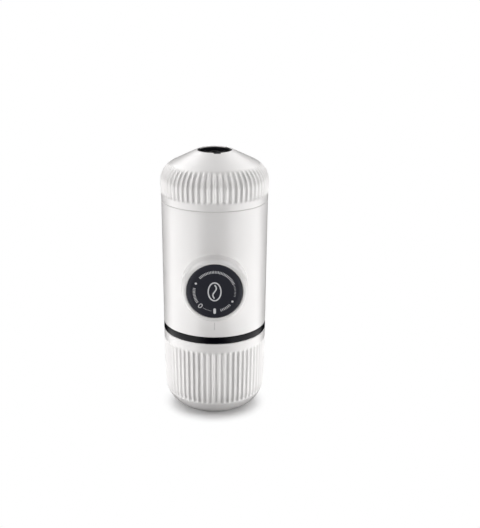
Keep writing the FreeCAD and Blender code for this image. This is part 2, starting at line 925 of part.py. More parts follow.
def basket_screen():
    """Perforated plate under the basket's lip."""
    high = basket_high - basket_lip_thickness
    radius = basket_bore - seal_gap
    plate = cylinder(radius, high - basket_plate, high)
    return plate.cut(six_sided_holes(hole_grid(radius - hole_margin, 0), high - 1, high + 1))


def scoop():
    """Coffee scoop: a straight cup with a flat thumb tab, kept in the basket."""
    high = scoop_low + scoop_height
    bowl = cylinder(scoop_radius, scoop_low, high, -scoop_offset)
    hollow = cylinder(scoop_radius - scoop_wall, scoop_low + scoop_wall, high, -scoop_offset)
    half = scoop_tab_width / 2
    tab_corner = V(0, -half, high - scoop_tab_thickness)
    tab = Part.makeBox(scoop_tab_reach, scoop_tab_width, scoop_tab_thickness, tab_corner)
    tab = tab.common(cylinder(scoop_tab_reach, scoop_low, high))
    return bowl.fuse(tab).cut(hollow)


def slope_height(radius, depth):
    """Height of the head's slope at a radius, this deep below its outer face."""
    return head_high - (radius - mouth_radius) * slope - depth / math.sin(math.radians(shoulder_angle))


def head_shell():
    """White cap over the group head: fluted shoulder, straight slope, round mouth with three key slots."""
    inner_bend = shoulder_bend - head_wall
    shoulder = (bend_centre, bend_z)
    rim = (upper_seam_radius, head_low + edge_break)
    side = tangent_angle(*shoulder, shoulder_bend, *rim)
    shell = turned([
        (shell_bore, head_low),
        (upper_seam_radius - edge_break, head_low),
        rim,
        on_arc(*shoulder, shoulder_bend, side),
        bend(*shoulder, shoulder_bend, side, shoulder_angle),
        (mouth_radius, head_high),
        (mouth_radius, slope_height(mouth_radius, head_wall)),
        on_arc(*shoulder, inner_bend, shoulder_angle),
        bend(*shoulder, inner_bend, shoulder_angle, 0),
    ])
    flute_low = head_low + flute_head_margin
    groove_bend = shoulder_bend - flute_depth
    clear_bend = shoulder_bend + 2 * flute_depth
    groove_foot = (upper_seam_radius - flute_depth, flute_low + flute_depth)
    groove_side = tangent_angle(*shoulder, groove_bend, *groove_foot)
    blades = flute_blades([
        groove_foot,
        (upper_seam_radius + 2 * flute_depth, flute_low - 2 * flute_depth),
        on_arc(*shoulder, clear_bend, 0),
        bend(*shoulder, clear_bend, 0, flute_shoulder_angle + 6),
        on_arc(*shoulder, groove_bend, flute_shoulder_angle),
        bend(*shoulder, groove_bend, flute_shoulder_angle, groove_side),
    ])
    slot_angle = key_angle + 2 * math.degrees(nest_gap / mouth_radius)
    slot_radius = liner_mouth + key_height + nest_gap
    slot_low = head_high - 2 * head_wall
    slot = sector(mouth_radius - 1, slot_radius, slot_low, head_high + 1, first_key, slot_angle)
    slots = around(slot, [index * 360 / key_count for index in range(key_count)])
    return shell.cut(blades + slots)


def head_liner():
    """Black liner bonded in the head: thread skirt, press ring over the basket, funnel, mouth with keys."""
    thread_bore = group_neck + slip_fit
    press_outer = basket_radius + press_ring_overhang
    press_inner = press_outer - press_ring_width
    mouth_top = slope_height(liner_mouth, head_wall + nest_gap)
    liner = turned([
        (thread_bore, head_low + edge_break),
        (liner_outer, head_low + edge_break),
        (liner_outer, bend_z),
        bend(bend_centre, bend_z, shoulder_bend - head_wall - nest_gap, 0, shoulder_angle),
        (liner_mouth, mouth_top),
        (liner_mouth, head_high - funnel_top_drop),
        (funnel_top_radius, head_high - funnel_top_drop),
        (press_inner, group_high + funnel_rim),
        (press_inner, basket_high + liner_foot_gap),
        (press_outer, basket_high + liner_foot_gap),
        (press_outer, group_high + press_ring_root),
        (thread_bore, group_high + liner_thread_headroom),
    ])
    key_high = head_high - key_drop
    key = sector(liner_mouth, liner_mouth + key_height, mouth_top - 1, key_high, first_key, key_angle)
    keys = around(key, [index * 360 / key_count for index in range(key_count)])
    return liner.fuse(keys)


def nozzle():
    """Outlet insert: collar in the mouth, sloping web with fins, and the spout in its middle."""
    flange_high = head_high - funnel_top_drop - nest_gap
    flange_low = flange_high - nozzle_flange_thickness
    rim = head_high - nozzle_drop
    inner = collar_radius - nozzle_wall
    web_low = flange_low + nest_gap
    insert = turned([
        (spout_bore, web_low + web_fall),
        (inner, web_low),
        (inner, flange_low),
        (collar_radius + nozzle_flange_width, flange_low),
        (collar_radius + nozzle_flange_width, flange_high),
        (collar_radius, flange_high),
        (collar_radius, rim),
        (inner, rim),
        (inner, web_low + web_thickness),
        (spout_radius, web_low + web_thickness + web_fall),
        (spout_radius, head_high - spout_drop),
        (spout_bore, head_high - spout_drop),
    ])
    fin_low = web_low + web_thickness / 2
    reach = collar_radius - spout_radius
    fin = Part.makeBox(reach, fin_thickness, head_high - fin_drop - fin_low,
                       V((spout_radius + spout_bore) / 2, -fin_thickness / 2, fin_low))
    fins = around(fin, [45 + index * 360 / fin_count for index in range(fin_count)])
    return insert.fuse(fins)


PIECES = [
    cup, water_tank, tank_collar, tank_gasket, tank_socket, body_shell, guide_bush,
    piston_sleeve, piston_cap, plunger_rod, rod_clip, plunger_head, piston_seals, return_spring,
    cylinder_liner, pump_block, port_seals, block_screws, inlet_valve, vent_valve,
    outlet_poppet, outlet_spring, valve_cap, group_head, shower_screen, screen_screw, group_gasket,
    filter_basket, basket_screen, scoop, head_liner, head_shell, nozzle,
]

os.makedirs("parts", exist_ok=True)
for make in PIECES:
    shape = make()
    shape.exportStep("parts/" + make.__name__ + ".step")
    print(make.__name__, len(shape.Solids), round(shape.Volume), shape.isValid())
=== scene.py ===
"""Looks of the handheld espresso maker, laid out as an add-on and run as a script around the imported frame."""
import math

import bmesh
import bpy
import numpy as np
from bpy.props import FloatProperty, FloatVectorProperty, IntProperty, PointerProperty, StringProperty
from bpy.types import Operator, Panel, PropertyGroup
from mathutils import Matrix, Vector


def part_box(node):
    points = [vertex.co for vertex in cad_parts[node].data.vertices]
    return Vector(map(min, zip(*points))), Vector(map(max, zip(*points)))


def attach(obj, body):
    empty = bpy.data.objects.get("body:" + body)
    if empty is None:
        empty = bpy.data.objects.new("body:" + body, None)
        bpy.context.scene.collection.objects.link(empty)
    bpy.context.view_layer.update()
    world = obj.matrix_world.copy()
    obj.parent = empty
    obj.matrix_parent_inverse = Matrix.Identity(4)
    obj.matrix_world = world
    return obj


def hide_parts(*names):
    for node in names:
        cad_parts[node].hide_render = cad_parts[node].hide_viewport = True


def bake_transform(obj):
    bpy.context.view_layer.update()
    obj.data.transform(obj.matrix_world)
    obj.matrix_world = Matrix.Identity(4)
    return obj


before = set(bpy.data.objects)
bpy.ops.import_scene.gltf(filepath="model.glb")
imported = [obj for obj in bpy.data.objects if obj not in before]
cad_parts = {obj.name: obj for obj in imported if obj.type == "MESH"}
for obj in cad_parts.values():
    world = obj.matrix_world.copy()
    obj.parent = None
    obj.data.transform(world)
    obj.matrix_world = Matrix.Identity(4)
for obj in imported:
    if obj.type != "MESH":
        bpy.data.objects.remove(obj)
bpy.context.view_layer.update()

bl_info = {
    "name": "Handheld espresso maker",
    "version": (1, 0, 0),
    "blender": (4, 5, 0),
    "location": "View3D > Sidebar > Espresso",
    "description": "Dresses the pieces of a hand-pumped travel espresso maker and sets its stage",
    "category": "Object",
}

MM = 0.001
FRONT = -math.pi / 2      # the knob looks along -Y, at this angle about Z
PUMP_Z = (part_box("piston_cap")[0].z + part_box("piston_cap")[1].z) / 2      # height of the knob's axis
ARC_STEP = 1.0 * MM       # longest mesh step round a corner of an outline
SIDE_STEP = 2.4 * MM      # longest mesh step along the outline of a fluted piece
FADE_STEP = 0.3 * MM      # mesh step where a groove ends
MERGED = 0.002 * MM       # points closer than this are one
FLAT = 0.0005 * MM        # edges shorter than this go
WHITE = (1.0, 1.0, 1.0, 1.0)


def length(name, description, millimetres):
    """Property that holds a length."""
    return FloatProperty(name=name, description=description, default=millimetres * MM, unit="LENGTH",
                         precision=5)


def angle(name, description, degrees):
    """Property that holds an angle."""
    return FloatProperty(name=name, description=description, default=math.radians(degrees), unit="ROTATION")


def number(name, description, value, **options):
    """Property that holds a plain number, or a power."""
    return FloatProperty(name=name, description=description, default=value, **options)


def hexcode(name, description, code):
    """Property that holds an sRGB colour as six hexadecimal digits."""
    return StringProperty(name=name, description=description, default=code)


class FluteSettings(PropertyGroup):
    """Grooves round the cup and the head."""
    count: IntProperty(name="Flutes", description="Flutes round the machine, one at the front", default=60)
    depth: length("Depth", "Height of a flute's crest above the grooves", 0.75)
    share: number("Share", "Share of the pitch that a flute takes", 0.7)
    crest: number("Crest", "Rounding of the crest, in half widths of the flute", 0.1)
    blunt_end: length("Blunt end", "Length over which a groove ends beside a plain band", 1.7)


class CupSettings(PropertyGroup):
    """Drinking cup."""
    foot_radius: length("Foot radius", "Rounding between the side and the flat foot", 16.4)
    wall: length("Wall", "Wall thickness at the foot", 1.8)
    draft: angle("Draft", "Lean of the side", 0.883)
    bore: length("Bore", "Radius of the inside", 27.9)
    rim_round: length("Rim rounding", "Rounding of the rim's edges", 0.3)
    flute_margin: length("Flute margin", "From the rim down to the flutes", 4.7)
    flute_foot: length("Flute foot", "Height at which the grooves end on the foot", 10.2)
    flute_fade: length("Flute fade", "Length over which the grooves fade below the rim", 2.6)
    flute_turn: angle("Flute turn", "First flute's crest from the front", -1.2)


class HeadSettings(PropertyGroup):
    """Fluted cap with the mouth."""
    shoulder_radius: length("Shoulder radius", "Rounding between the side and the slope", 12.0)
    slope: angle("Slope", "Fall of the top towards its edge", 26.0)
    rim_radius: length("Rim radius", "Outer radius at the seam", 30.6)
    mouth_radius: length("Mouth radius", "Radius of the round hole in the top", 9.75)
    wall: length("Wall", "Wall thickness", 2.4)
    lip_round: length("Lip rounding", "Rounding of the mouth's edge", 0.45)
    rim_round: length("Rim rounding", "Rounding of the edges at the seam", 0.3)
    flute_margin: length("Flute margin", "From the seam up to the flutes", 3.65)
    flute_top: angle("Flute top", "Where the grooves end round the shoulder", 60.0)
    flute_fade: length("Flute fade", "Length over which the grooves fade on the shoulder", 4.16)
    slot_count: IntProperty(name="Slots", description="Key slots in the mouth", default=3)
    slot_depth: length("Slot depth", "Depth of a key slot in the mouth", 0.9)
    slot_width: angle("Slot width", "Width of a key slot, about the axis", 22.0)
    slot_turn: angle("Slot turn", "First slot from the front", 8.0)


class SleeveSettings(PropertyGroup):
    """Plain sleeve of the body, with its index line."""
    lower_radius: length("Lower radius", "Outer radius at the lower seam", 30.2)
    upper_radius: length("Upper radius", "Outer radius at the upper seam", 30.6)
    bore: length("Bore", "Radius of the inside", 28.3)
    window_angle: angle("Window angle", "Half the width of the mesh's window round the turret", 58.0)
    window_reach: length("Window reach", "Half the height of that window", 26.5)
    index_low: length("Index foot", "Lower end of the index line", 57.9)
    index_high: length("Index head", "Upper end of the index line", 62.5)
    index_width: length("Index width", "Width of the index line", 0.42)
    index_ink: length("Index ink", "Thickness of its ink over the sleeve", 0.015)


class TurretSettings(PropertyGroup):
    """Turret of the sleeve, round the knob."""
    radius: length("Radius", "Radius of the rim, before its rounding", 18.3)
    face: length("Face", "Rim from the machine's axis", 39.5)
    mouth: length("Mouth", "Radius of the recess round the knob", 15.75)
    chamfer: length("Chamfer", "Chamfer at the edge of that recess", 0.12)
    ledge: length("Ledge", "Floor of that recess from the machine's axis", 36.8)
    bore: length("Bore", "Radius of the hole for the bush", 15.25)
    draft: angle("Draft", "Lean of the side", 1.0)
    root: length("Root", "Fillet between the turret and the sleeve", 0.9)
    lip: length("Lip", "Rounding of the rim", 2.2)


class KnobSettings(PropertyGroup):
    """Knob face and its printed marks."""
    radius: length("Radius", "Outer radius", 15.5)
    bevel_width: length("Bevel width", "Width of the shallow bevel round the face", 2.1)
    bevel_height: length("Bevel height", "Fall of that bevel", 0.35)
    edge_round: length("Edge rounding", "Rounding outside the bevel", 0.3)
    plate: length("Plate", "Thickness of the face", 1.4)
    skirt: length("Skirt", "Wall of the skirt", 1.15)
    depth: length("Depth", "Face to the skirt's edge", 2.8)
    mark_radius: length("Mark radius", "Radius of the ring of marks", 11.35)
    print_height: length("Print height", "Thickness of the printed ink", 0.03)
    turn: angle("Turn", "From the filled mark to the open mark", 44.0)


class CollarSettings(PropertyGroup):
    """Ring between the cup and the sleeve."""
    bore: length("Bore", "Radius round the tank's side", 27.65)
    neck_bore: length("Neck bore", "Radius round the tank's neck", 26.25)
    web: length("Web", "Thickness over the tank's shoulder", 1.15)
    edge_round: length("Edge rounding", "Rounding of the outer edges", 0.35)


class TankSettings(PropertyGroup):
    """Water tank."""
    neck: length("Neck", "Outer radius of the neck", 26.2)
    neck_bore: length("Neck bore", "Radius inside the neck", 23.6)
    wall: length("Wall", "Wall thickness", 2.0)
    foot_round: length("Foot rounding", "Rounding between the side and the foot", 14.3)
    thread_start: length("Thread start", "From the shoulder up to the thread", 3.2)


class ThreadSettings(PropertyGroup):
    """Threads of the tank and of the group head."""
    pitch: length("Pitch", "Climb in one turn", 3.0)
    height: length("Height", "Height of the ridge", 0.24)
    turns: number("Turns", "Turns of each thread", 2.3)
    group_neck: length("Group neck", "Radius of the group head's neck", 26.0)
    group_start: length("Group start", "From the sleeve's rim up to the group head's thread", 2.4)


class ScoopSettings(PropertyGroup):
    """Coffee scoop."""
    radius: length("Radius", "Outside of the bowl", 14.8)
    wall: length("Wall", "Wall thickness", 1.2)
    offset: length("Offset", "Bowl's axis behind the machine's axis, away from the tab", 2.6)
    foot_round: length("Foot rounding", "Rounding under the bowl", 1.1)
    tab_width: length("Tab width", "Width of the thumb tab", 12.0)
    tab_thickness: length("Tab thickness", "Thickness of the thumb tab", 1.6)
    tab_corner: length("Tab corner", "Rounding of the tab's corners, seen from above", 1.6)
    edge_round: length("Edge rounding", "Rounding of the rim and of the tab's edges", 0.35)


class FinishSettings(PropertyGroup):
    """Colours of the finishes, as sRGB hexadecimal codes."""
    white: hexcode("White shell", "Cup, sleeve and head", "EFEDEC")
    knob: hexcode("Knob", "Face of the knob", "22232C")
    black: hexcode("Black mouldings", "Nozzle, bush, socket and group head", "131417")
    collar: hexcode("Collar", "Ring between cup and sleeve", "07070D")
    smoke: hexcode("Tank", "Tint of the clear tank", "8E949A")
    grey: hexcode("Pump moulding", "Pump block and valve pieces", "6F7379")
    silicone: hexcode("Silicone", "Seals and valve flaps", "C9C6C0")
    turned_steel: hexcode("Turned steel", "Rod, liner, screws and clip", "C9CACC")
    pressed_steel: hexcode("Pressed steel", "Shower screen and basket screen", "CCCBC8")
    steel_wire: hexcode("Steel wire", "Both springs", "B9BABD")
    ink: hexcode("Ink", "Printed marks", "E4E4E6")
    index_ink: hexcode("Index line", "Line under the knob", "D6D4D4")


class StageSettings(PropertyGroup):
    """Camera and light."""
    distance: length("Distance", "Camera from the point it looks at", 562.0)
    elevation: angle("Elevation", "Camera above level", 19.1)
    target: length("Target height", "Height of the point that the camera looks at", 77.6)
    lens: number("Lens", "Focal length in millimetres", 64.77)
    shift: FloatVectorProperty(name="Shift", description="Camera shift", size=2, default=(0.0481, 0.0303))
    side_power: number("Side power", "Power of each tall side light", 4.75, unit="POWER")
    side_turn: angle("Side turn", "Side lights from the front, about the machine", 69.5)
    top_power: number("Top power", "Power of the light overhead", 4.6, unit="POWER")
    ambient: number("Ambient", "Strength of the room's even light", 0.15)
    side_glow: number("Side glow", "Brightness that gloss sees on the floor to both sides", 2.5)
    front_gap: angle("Front gap", "Floor dark for gloss up to this angle from the front", 2.0)
    front_full: angle("Front full", "Floor bright for gloss from this angle", 42.0)
    back_full: angle("Back full", "Floor bright for gloss up to this angle", 95.0)
    back_gap: angle("Back gap", "Floor dark for gloss from this angle", 130.0)
    left_glow: number("Left glow", "Brightness that gloss sees in the room's left half", 3.0)
    right_glow: number("Right glow", "Brightness that gloss sees in the room's right half", 2.1)


class EspressoSettings(PropertyGroup):
    """All settings of the machine."""
    flutes: PointerProperty(type=FluteSettings)
    cup: PointerProperty(type=CupSettings)
    head: PointerProperty(type=HeadSettings)
    sleeve: PointerProperty(type=SleeveSettings)
    turret: PointerProperty(type=TurretSettings)
    knob: PointerProperty(type=KnobSettings)
    collar: PointerProperty(type=CollarSettings)
    tank: PointerProperty(type=TankSettings)
    thread: PointerProperty(type=ThreadSettings)
    scoop: PointerProperty(type=ScoopSettings)
    finish: PointerProperty(type=FinishSettings)
    stage: PointerProperty(type=StageSettings)


# Outlines, in (radius, height)

def rounded(corners, steps=6):
    """Open outline through (r, z, rounding) corners. Between the ends each corner becomes the arc of its
    rounding that touches both its sides: centre on the bisector, radius / sin(half angle) from the corner. An
    arc has this many steps, or more where it is long. A corner with a rounding of 0 stays sharp."""
    rows = np.array(corners, float)
    parts = [rows[:1, :2]]
    for before, here, after in zip(rows[:-2], rows[1:-1], rows[2:]):
        corner, radius = here[:2], here[2]
        if radius <= 0:
            parts.append(corner[None])
            continue
        into = (before[:2] - corner) / np.linalg.norm(before[:2] - corner)
        out = (after[:2] - corner) / np.linalg.norm(after[:2] - corner)
        half = math.acos(np.clip(into @ out, -1, 1)) / 2
        centre = corner + (into + out) / np.linalg.norm(into + out) * radius / math.sin(half)
        start = corner + into * radius / math.tan(half) - centre
        end = corner + out * radius / math.tan(half) - centre
        turn = math.atan2(start[0] * end[1] - start[1] * end[0], start @ end)
        swing = np.linspace(0, turn, max(steps, int(abs(turn) * radius / ARC_STEP)) + 1)
        parts.append(centre + np.stack([start[0] * np.cos(swing) - start[1] * np.sin(swing),
                                        start[0] * np.sin(swing) + start[1] * np.cos(swing)], 1))
    parts.append(rows[-1:, :2])
    return np.concatenate(parts)


def dense(outline, spacing):
    """The outline with its long sides divided, so that no side is longer than the spacing."""
    sides = np.linalg.norm(np.diff(outline, axis=0), axis=1)
    cuts = np.maximum(np.ceil(sides / spacing), 1)
    along = np.concatenate([[0], np.cumsum(cuts)])
    every = np.arange(along[-1] + 1)
    return at_travel(outline, every, along)


def refined(outline, spans, step):
    """The outline with points added at every step along some spans of its length."""
    run = travel(outline)
    every = np.unique(np.concatenate([run] + [np.arange(start, end, step) for start, end in spans]))
    return at_travel(outline, every, run)


def at_travel(outline, every, run):
    """Points between those of an outline, at given values of a measure that runs along it."""
    return np.stack([np.interp(every, run, outline[:, 0]), np.interp(every, run, outline[:, 1])], 1)


def travel(outline):
    """Distance run along an outline at each of its points."""
    return np.concatenate([[0], np.cumsum(np.linalg.norm(np.diff(outline, axis=0), axis=1))])


def outward(outline):
    """Unit normals on the right-hand side of the way along an outline."""
    ahead = np.gradient(outline, axis=0)
    ahead /= np.maximum(np.linalg.norm(ahead, axis=1, keepdims=True), 1e-12)
    return np.stack([ahead[:, 1], -ahead[:, 0]], 1)


def ease(value, start, end):
    """Smooth step from 0 at start to 1 at end: t * t * (3 - 2 t)."""
    t = np.clip((value - start) / (end - start), 0, 1)
    return t * t * (3 - 2 * t)


# Surfaces

def turned(outline, angles, relief=0.0):
    """Surface of revolution: (r cos a, r sin a, z), each point sunk by the relief against the outline's
    normal. The relief is an array of rows (outline) by columns (angles)."""
    normal = outward(outline)
    r = outline[:, :1] - relief * normal[:, :1] + 0 * angles
    z = outline[:, 1:] - relief * normal[:, 1:] + 0 * angles
    return np.stack([r * np.cos(angles), r * np.sin(angles), z], -1)


def full_turn(columns):
    """Angles of a whole turn, without the repeated last one."""
    return np.arange(columns) * 2 * math.pi / columns + FRONT


def swept(path, sides, radius):
    """Tube along a path that mostly runs level: a circle in the plane across the path, one ring for each
    path point. The circle's axes are the path's tangent crossed with the upright, and crossed again."""
    ahead = np.gradient(path, axis=0)
    ahead /= np.linalg.norm(ahead, axis=1, keepdims=True)
    side = np.cross(ahead, [0.0, 0.0, 1.0])
    side /= np.linalg.norm(side, axis=1, keepdims=True)
    over = np.cross(side, ahead)
    a = np.arange(sides)[:, None] * 2 * math.pi / sides
    return path[:, None] + radius * (np.cos(a) * side[:, None] + np.sin(a) * over[:, None])


def faces_of(rows, columns, joined, first):
    """Quads of a grid of points, numbered from first, with its last column joined to the first one or not."""
    i = np.arange(rows - 1)[:, None]
    j = np.arange(columns if joined else columns - 1)[None]
    beside = (j + 1) % columns
    quads = [i * columns + j, i * columns + beside, (i + 1) * columns + beside, (i + 1) * columns + j]
    return np.stack(quads, -1).reshape(-1, 4) + first


def build(name, grids, look, body, replaced=(), crease=35, sheets=()):
    """One piece from grids of points whose columns join round, and from sheets, whose columns don't. Shared
    edges are merged, poles and open ends are closed, and normals point outwards. Edges sharper than the
    crease, in degrees, stay sharp. The piece gets a finish, rides on a body and stands for CAD nodes."""
    points, quads, count = [], [], 0
    for grid, joined in [(grid, True) for grid in grids] + [(sheet, False) for sheet in sheets]:
        rows, columns = grid.shape[:2]
        points.append(grid.reshape(-1, 3))
        quads.append(faces_of(rows, columns, joined, count))
        count += rows * columns
    mesh = bpy.data.meshes.new(name)
    mesh.from_pydata(np.concatenate(points), [], np.concatenate(quads).tolist())
    shell = bmesh.new()
    shell.from_mesh(mesh)
    bmesh.ops.remove_doubles(shell, verts=shell.verts, dist=MERGED)
    bmesh.ops.dissolve_degenerate(shell, edges=shell.edges, dist=FLAT)
    open_edges = [edge for edge in shell.edges if edge.is_boundary]
    if open_edges:
        bmesh.ops.holes_fill(shell, edges=open_edges, sides=0)
    bmesh.ops.recalc_face_normals(shell, faces=shell.faces)
    shell.to_mesh(mesh)
    shell.free()
    mesh.shade_smooth()
    mesh.set_sharp_from_angle(angle=math.radians(crease))
    mesh.materials.append(finish(look))
    piece = bpy.data.objects.new(name, mesh)
    bpy.context.scene.collection.objects.link(piece)
    if body:
        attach(piece, body)
    if replaced:
        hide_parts(*replaced)
    return piece


def onto_pump_axis(grid):
    """Turns points made about Z so that Z points out through the knob: (x, y, z) becomes (x, -z, y)."""
    return np.stack([grid[..., 0], -grid[..., 2], grid[..., 1] + PUMP_Z], -1)


def print_strip(path, widths, base, height):
    """Ink line on the knob's face: four rails along a flat (x, z) path, half a width to each side, at the
    face and at the ink's height."""
    ahead = np.gradient(path, axis=0)
    ahead /= np.linalg.norm(ahead, axis=1, keepdims=True)
    side = np.stack([ahead[:, 1], -ahead[:, 0]], 1) * widths[:, None] / 2
    rails = [np.column_stack([path + sign * side, np.full(len(path), level)])
             for sign, level in ((1, base), (1, base + height), (-1, base + height), (-1, base))]
    return onto_pump_axis(np.stack(rails, 1))


def stroke(path, width, base, height):
    """Print strip with round ends: over half its width from each end it narrows as a half circle."""
    run = travel(path)
    end = width / 2
    ends = end * (1 - np.cos(np.linspace(0, math.pi / 2, 7)))
    every = np.unique(np.concatenate([ends, run, run[-1] - ends]))
    every = every[(every >= 0) & (every <= run[-1]) & (np.diff(every, prepend=-1) > 1e-6 * MM)]
    inset = np.minimum(np.minimum(every, run[-1] - every), end)
    widths = 2 * np.sqrt(np.maximum(end ** 2 - (end - inset) ** 2, 0))
    return print_strip(at_travel(path, every, run), widths, base, height)


# Materials

def linear(code):
    """Linear colour from an sRGB hexadecimal code: ((c + 0.055) / 1.055) ** 2.4 above the toe."""
    levels = [int(code[k:k + 2], 16) / 255 for k in (0, 2, 4)]
    return [c / 12.92 if c <= 0.04045 else ((c + 0.055) / 1.055) ** 2.4 for c in levels] + [1.0]


def shaded(colour, factor):
    """A linear colour made darker or lighter by a factor."""
    return [min(c * factor, 1.0) for c in colour[:3]] + [1.0]


def add(tree, kind, inputs=None, **settings):
    """Adds a node, with its settings. Each input is set to a value, or linked to a socket or to a node's
    first output."""
    node = tree.nodes.new("ShaderNode" + kind)
    for name, value in settings.items():
        setattr(node, name, value)
    for name, value in (inputs or {}).items():
        if isinstance(value, bpy.types.Node):
            value = value.outputs[0]
        if isinstance(value, bpy.types.NodeSocket):
            tree.links.new(value, node.inputs[name])
        else:
            node.inputs[name].default_value = value
    return node


def new_material(name):
    """Empty material, its node tree, and the place on the piece in Object coordinates."""
    material = bpy.data.materials.new(name)
    material.use_nodes = True
    tree = material.node_tree
    tree.nodes.clear()
    return material, tree, add(tree, "TexCoord").outputs["Object"]


def scaled(size):
    """Noise scale for a pattern whose spots are this size, in metres."""
    return 1.0 / size


def moulded(name, code, roughness, ior, grain, relief, mottle=0.015, coat=0.0, edge=0.25 * MM):
    """Injection-moulded plastic. The eye sees a soft sheen, a faint spark-eroded grain, slightly uneven
    gloss and edges that are never quite sharp: a bevel of the edge's radius, in shading alone, lets them
    catch the light."""
    material, tree, place = new_material(name)
    base = linear(code)
    cloud = add(tree, "TexNoise", {"Vector": place, "Scale": scaled(9 * MM), "Detail": 3.0, "Roughness": 0.6})
    tint = add(tree, "Mix", {"Factor": cloud, "A": shaded(base, 1 - mottle), "B": shaded(base, 1 + mottle)},
               data_type="RGBA")
    gloss = add(tree, "MapRange", {"Value": cloud, "From Min": 0.3, "From Max": 0.7,
                                   "To Min": roughness - 0.025, "To Max": roughness + 0.025})
    spark = add(tree, "TexNoise", {"Vector": place, "Scale": scaled(grain), "Detail": 2.0, "Roughness": 0.55})
    normal = {"Normal": add(tree, "Bevel", {"Radius": edge}, samples=4)} if edge else {}
    bump = add(tree, "Bump", {"Height": spark, "Strength": 0.35, "Distance": relief, **normal})
    surface = add(tree, "BsdfPrincipled", {
        "Base Color": tint.outputs["Result"], "Roughness": gloss, "IOR": ior, "Normal": bump,
        "Coat Weight": coat, "Coat Roughness": 0.12,
    })
    add(tree, "OutputMaterial", {"Surface": surface})
    return material


def smoke_polycarbonate(name, code):
    """Clear moulded polycarbonate with a grey tint: glossy, and dark where it is thick."""
    material, tree, place = new_material(name)
    flow = add(tree, "TexNoise", {"Vector": place, "Scale": scaled(14 * MM), "Detail": 2.0})
    bump = add(tree, "Bump", {"Height": flow, "Strength": 0.15, "Distance": 0.05 * MM})
    gloss = add(tree, "MapRange", {"Value": flow, "To Min": 0.05, "To Max": 0.10})
    surface = add(tree, "BsdfPrincipled", {
        "Base Color": linear(code), "Roughness": gloss, "IOR": 1.58, "Normal": bump,
        "Transmission Weight": 0.92,
    })
    add(tree, "OutputMaterial", {"Surface": surface})
    return material


def silicone_rubber(name, code):
    """Moulded silicone: matte, slightly translucent, with a dusty bloom."""
    material, tree, place = new_material(name)
    base = linear(code)
    bloom = add(tree, "TexNoise", {"Vector": place, "Scale": scaled(2.5 * MM), "Detail": 4.0})
    tint = add(tree, "Mix", {"Factor": bloom, "A": shaded(base, 0.9), "B": base}, data_type="RGBA")
    gloss = add(tree, "MapRange", {"Value": bloom, "To Min": 0.5, "To Max": 0.68})
    surface = add(tree, "BsdfPrincipled", {
        "Base Color": tint.outputs["Result"], "Roughness": gloss, "IOR": 1.41, "Subsurface Weight": 0.15,
        "Subsurface Scale": 1.5 * MM,
    })
    add(tree, "OutputMaterial", {"Surface": surface})
    return material


def steel(name, code, roughness, stretch, line):
    """Stainless steel. Fine lines from brushing or turning, across the stretch, break up reflections."""
    material, tree, place = new_material(name)
    drawn = add(tree, "Mapping", {"Vector": place, "Scale": stretch})
    lines = add(tree, "TexNoise", {"Vector": drawn, "Scale": scaled(line), "Detail": 3.0})
    gloss = add(tree, "MapRange", {"Value": lines, "From Min": 0.3, "From Max": 0.7,
                                   "To Min": roughness - 0.06, "To Max": roughness + 0.08})
    edge = add(tree, "Bevel", {"Radius": 0.12 * MM}, samples=4)
    bump = add(tree, "Bump", {"Height": lines, "Strength": 0.2, "Distance": 0.01 * MM, "Normal": edge})
    surface = add(tree, "BsdfPrincipled", {"Base Color": linear(code), "Metallic": 1.0, "Roughness": gloss,
                                           "Normal": bump})
    add(tree, "OutputMaterial", {"Surface": surface})
    return material


def pad_print(name, code):
    """Pad-printed ink: flat, matte, with a slightly uneven edge of coverage."""
    material, tree, place = new_material(name)
    base = linear(code)
    cover = add(tree, "TexNoise", {"Vector": place, "Scale": scaled(0.5 * MM), "Detail": 3.0})
    tint = add(tree, "Mix", {"Factor": cover, "A": shaded(base, 0.82), "B": base}, data_type="RGBA")
    surface = add(tree, "BsdfPrincipled", {"Base Color": tint.outputs["Result"], "Roughness": 0.6,
                                           "IOR": 1.45})
    add(tree, "OutputMaterial", {"Surface": surface})
    return material


def finish(name):
    """A finish by name, made when it is first asked for. The plastics' numbers are roughness, IOR, grain
    size, grain height, mottle, coat and edge, and the steels' are roughness, stretch of the lines and their
    width. A spark-eroded grain is about 0.05 mm wide and is drawn coarser, so that it shows."""
    made = bpy.data.materials.get(name)
    if made:
        return made
    colours = bpy.context.scene.espresso.finish
    maker, *values = {
        # shells and knob: wide, soft highlights
        "abs_white_satin": (moulded, colours.white, 0.33, 1.54, 0.22 * MM, 0.006 * MM, 0.015, 0.6, 0),
        "abs_knob_satin": (moulded, colours.knob, 0.42, 1.52, 0.3 * MM, 0.02 * MM, 0.08),
        "abs_black_satin": (moulded, colours.black, 0.38, 1.52, 0.3 * MM, 0.015 * MM, 0.1),
        # ring: narrow reflections of the room on a deep black
        "polycarbonate_black_polished": (moulded, colours.collar, 0.2, 1.2, 0.6 * MM, 0.002 * MM, 0.05),
        # pump: dull and waxy
        "polypropylene_grey": (moulded, colours.grey, 0.45, 1.49, 0.4 * MM, 0.02 * MM, 0.04),
        "polycarbonate_smoke": (smoke_polycarbonate, colours.smoke),
        "silicone_moulded": (silicone_rubber, colours.silicone),
        # steels: lines round a turned piece, fainter on a pressed one, and even on wire
        "steel_turned": (steel, colours.turned_steel, 0.24, (1.0, 0.02, 1.0), 0.25 * MM),
        "steel_pressed": (steel, colours.pressed_steel, 0.3, (1.0, 0.1, 1.0), 0.35 * MM),
        "steel_wire": (steel, colours.steel_wire, 0.22, (1.0, 1.0, 1.0), 0.4 * MM),
        "ink_white": (pad_print, colours.ink),
        "ink_grey": (pad_print, colours.index_ink),
    }[name]
    return maker(name, *values)


# Pieces

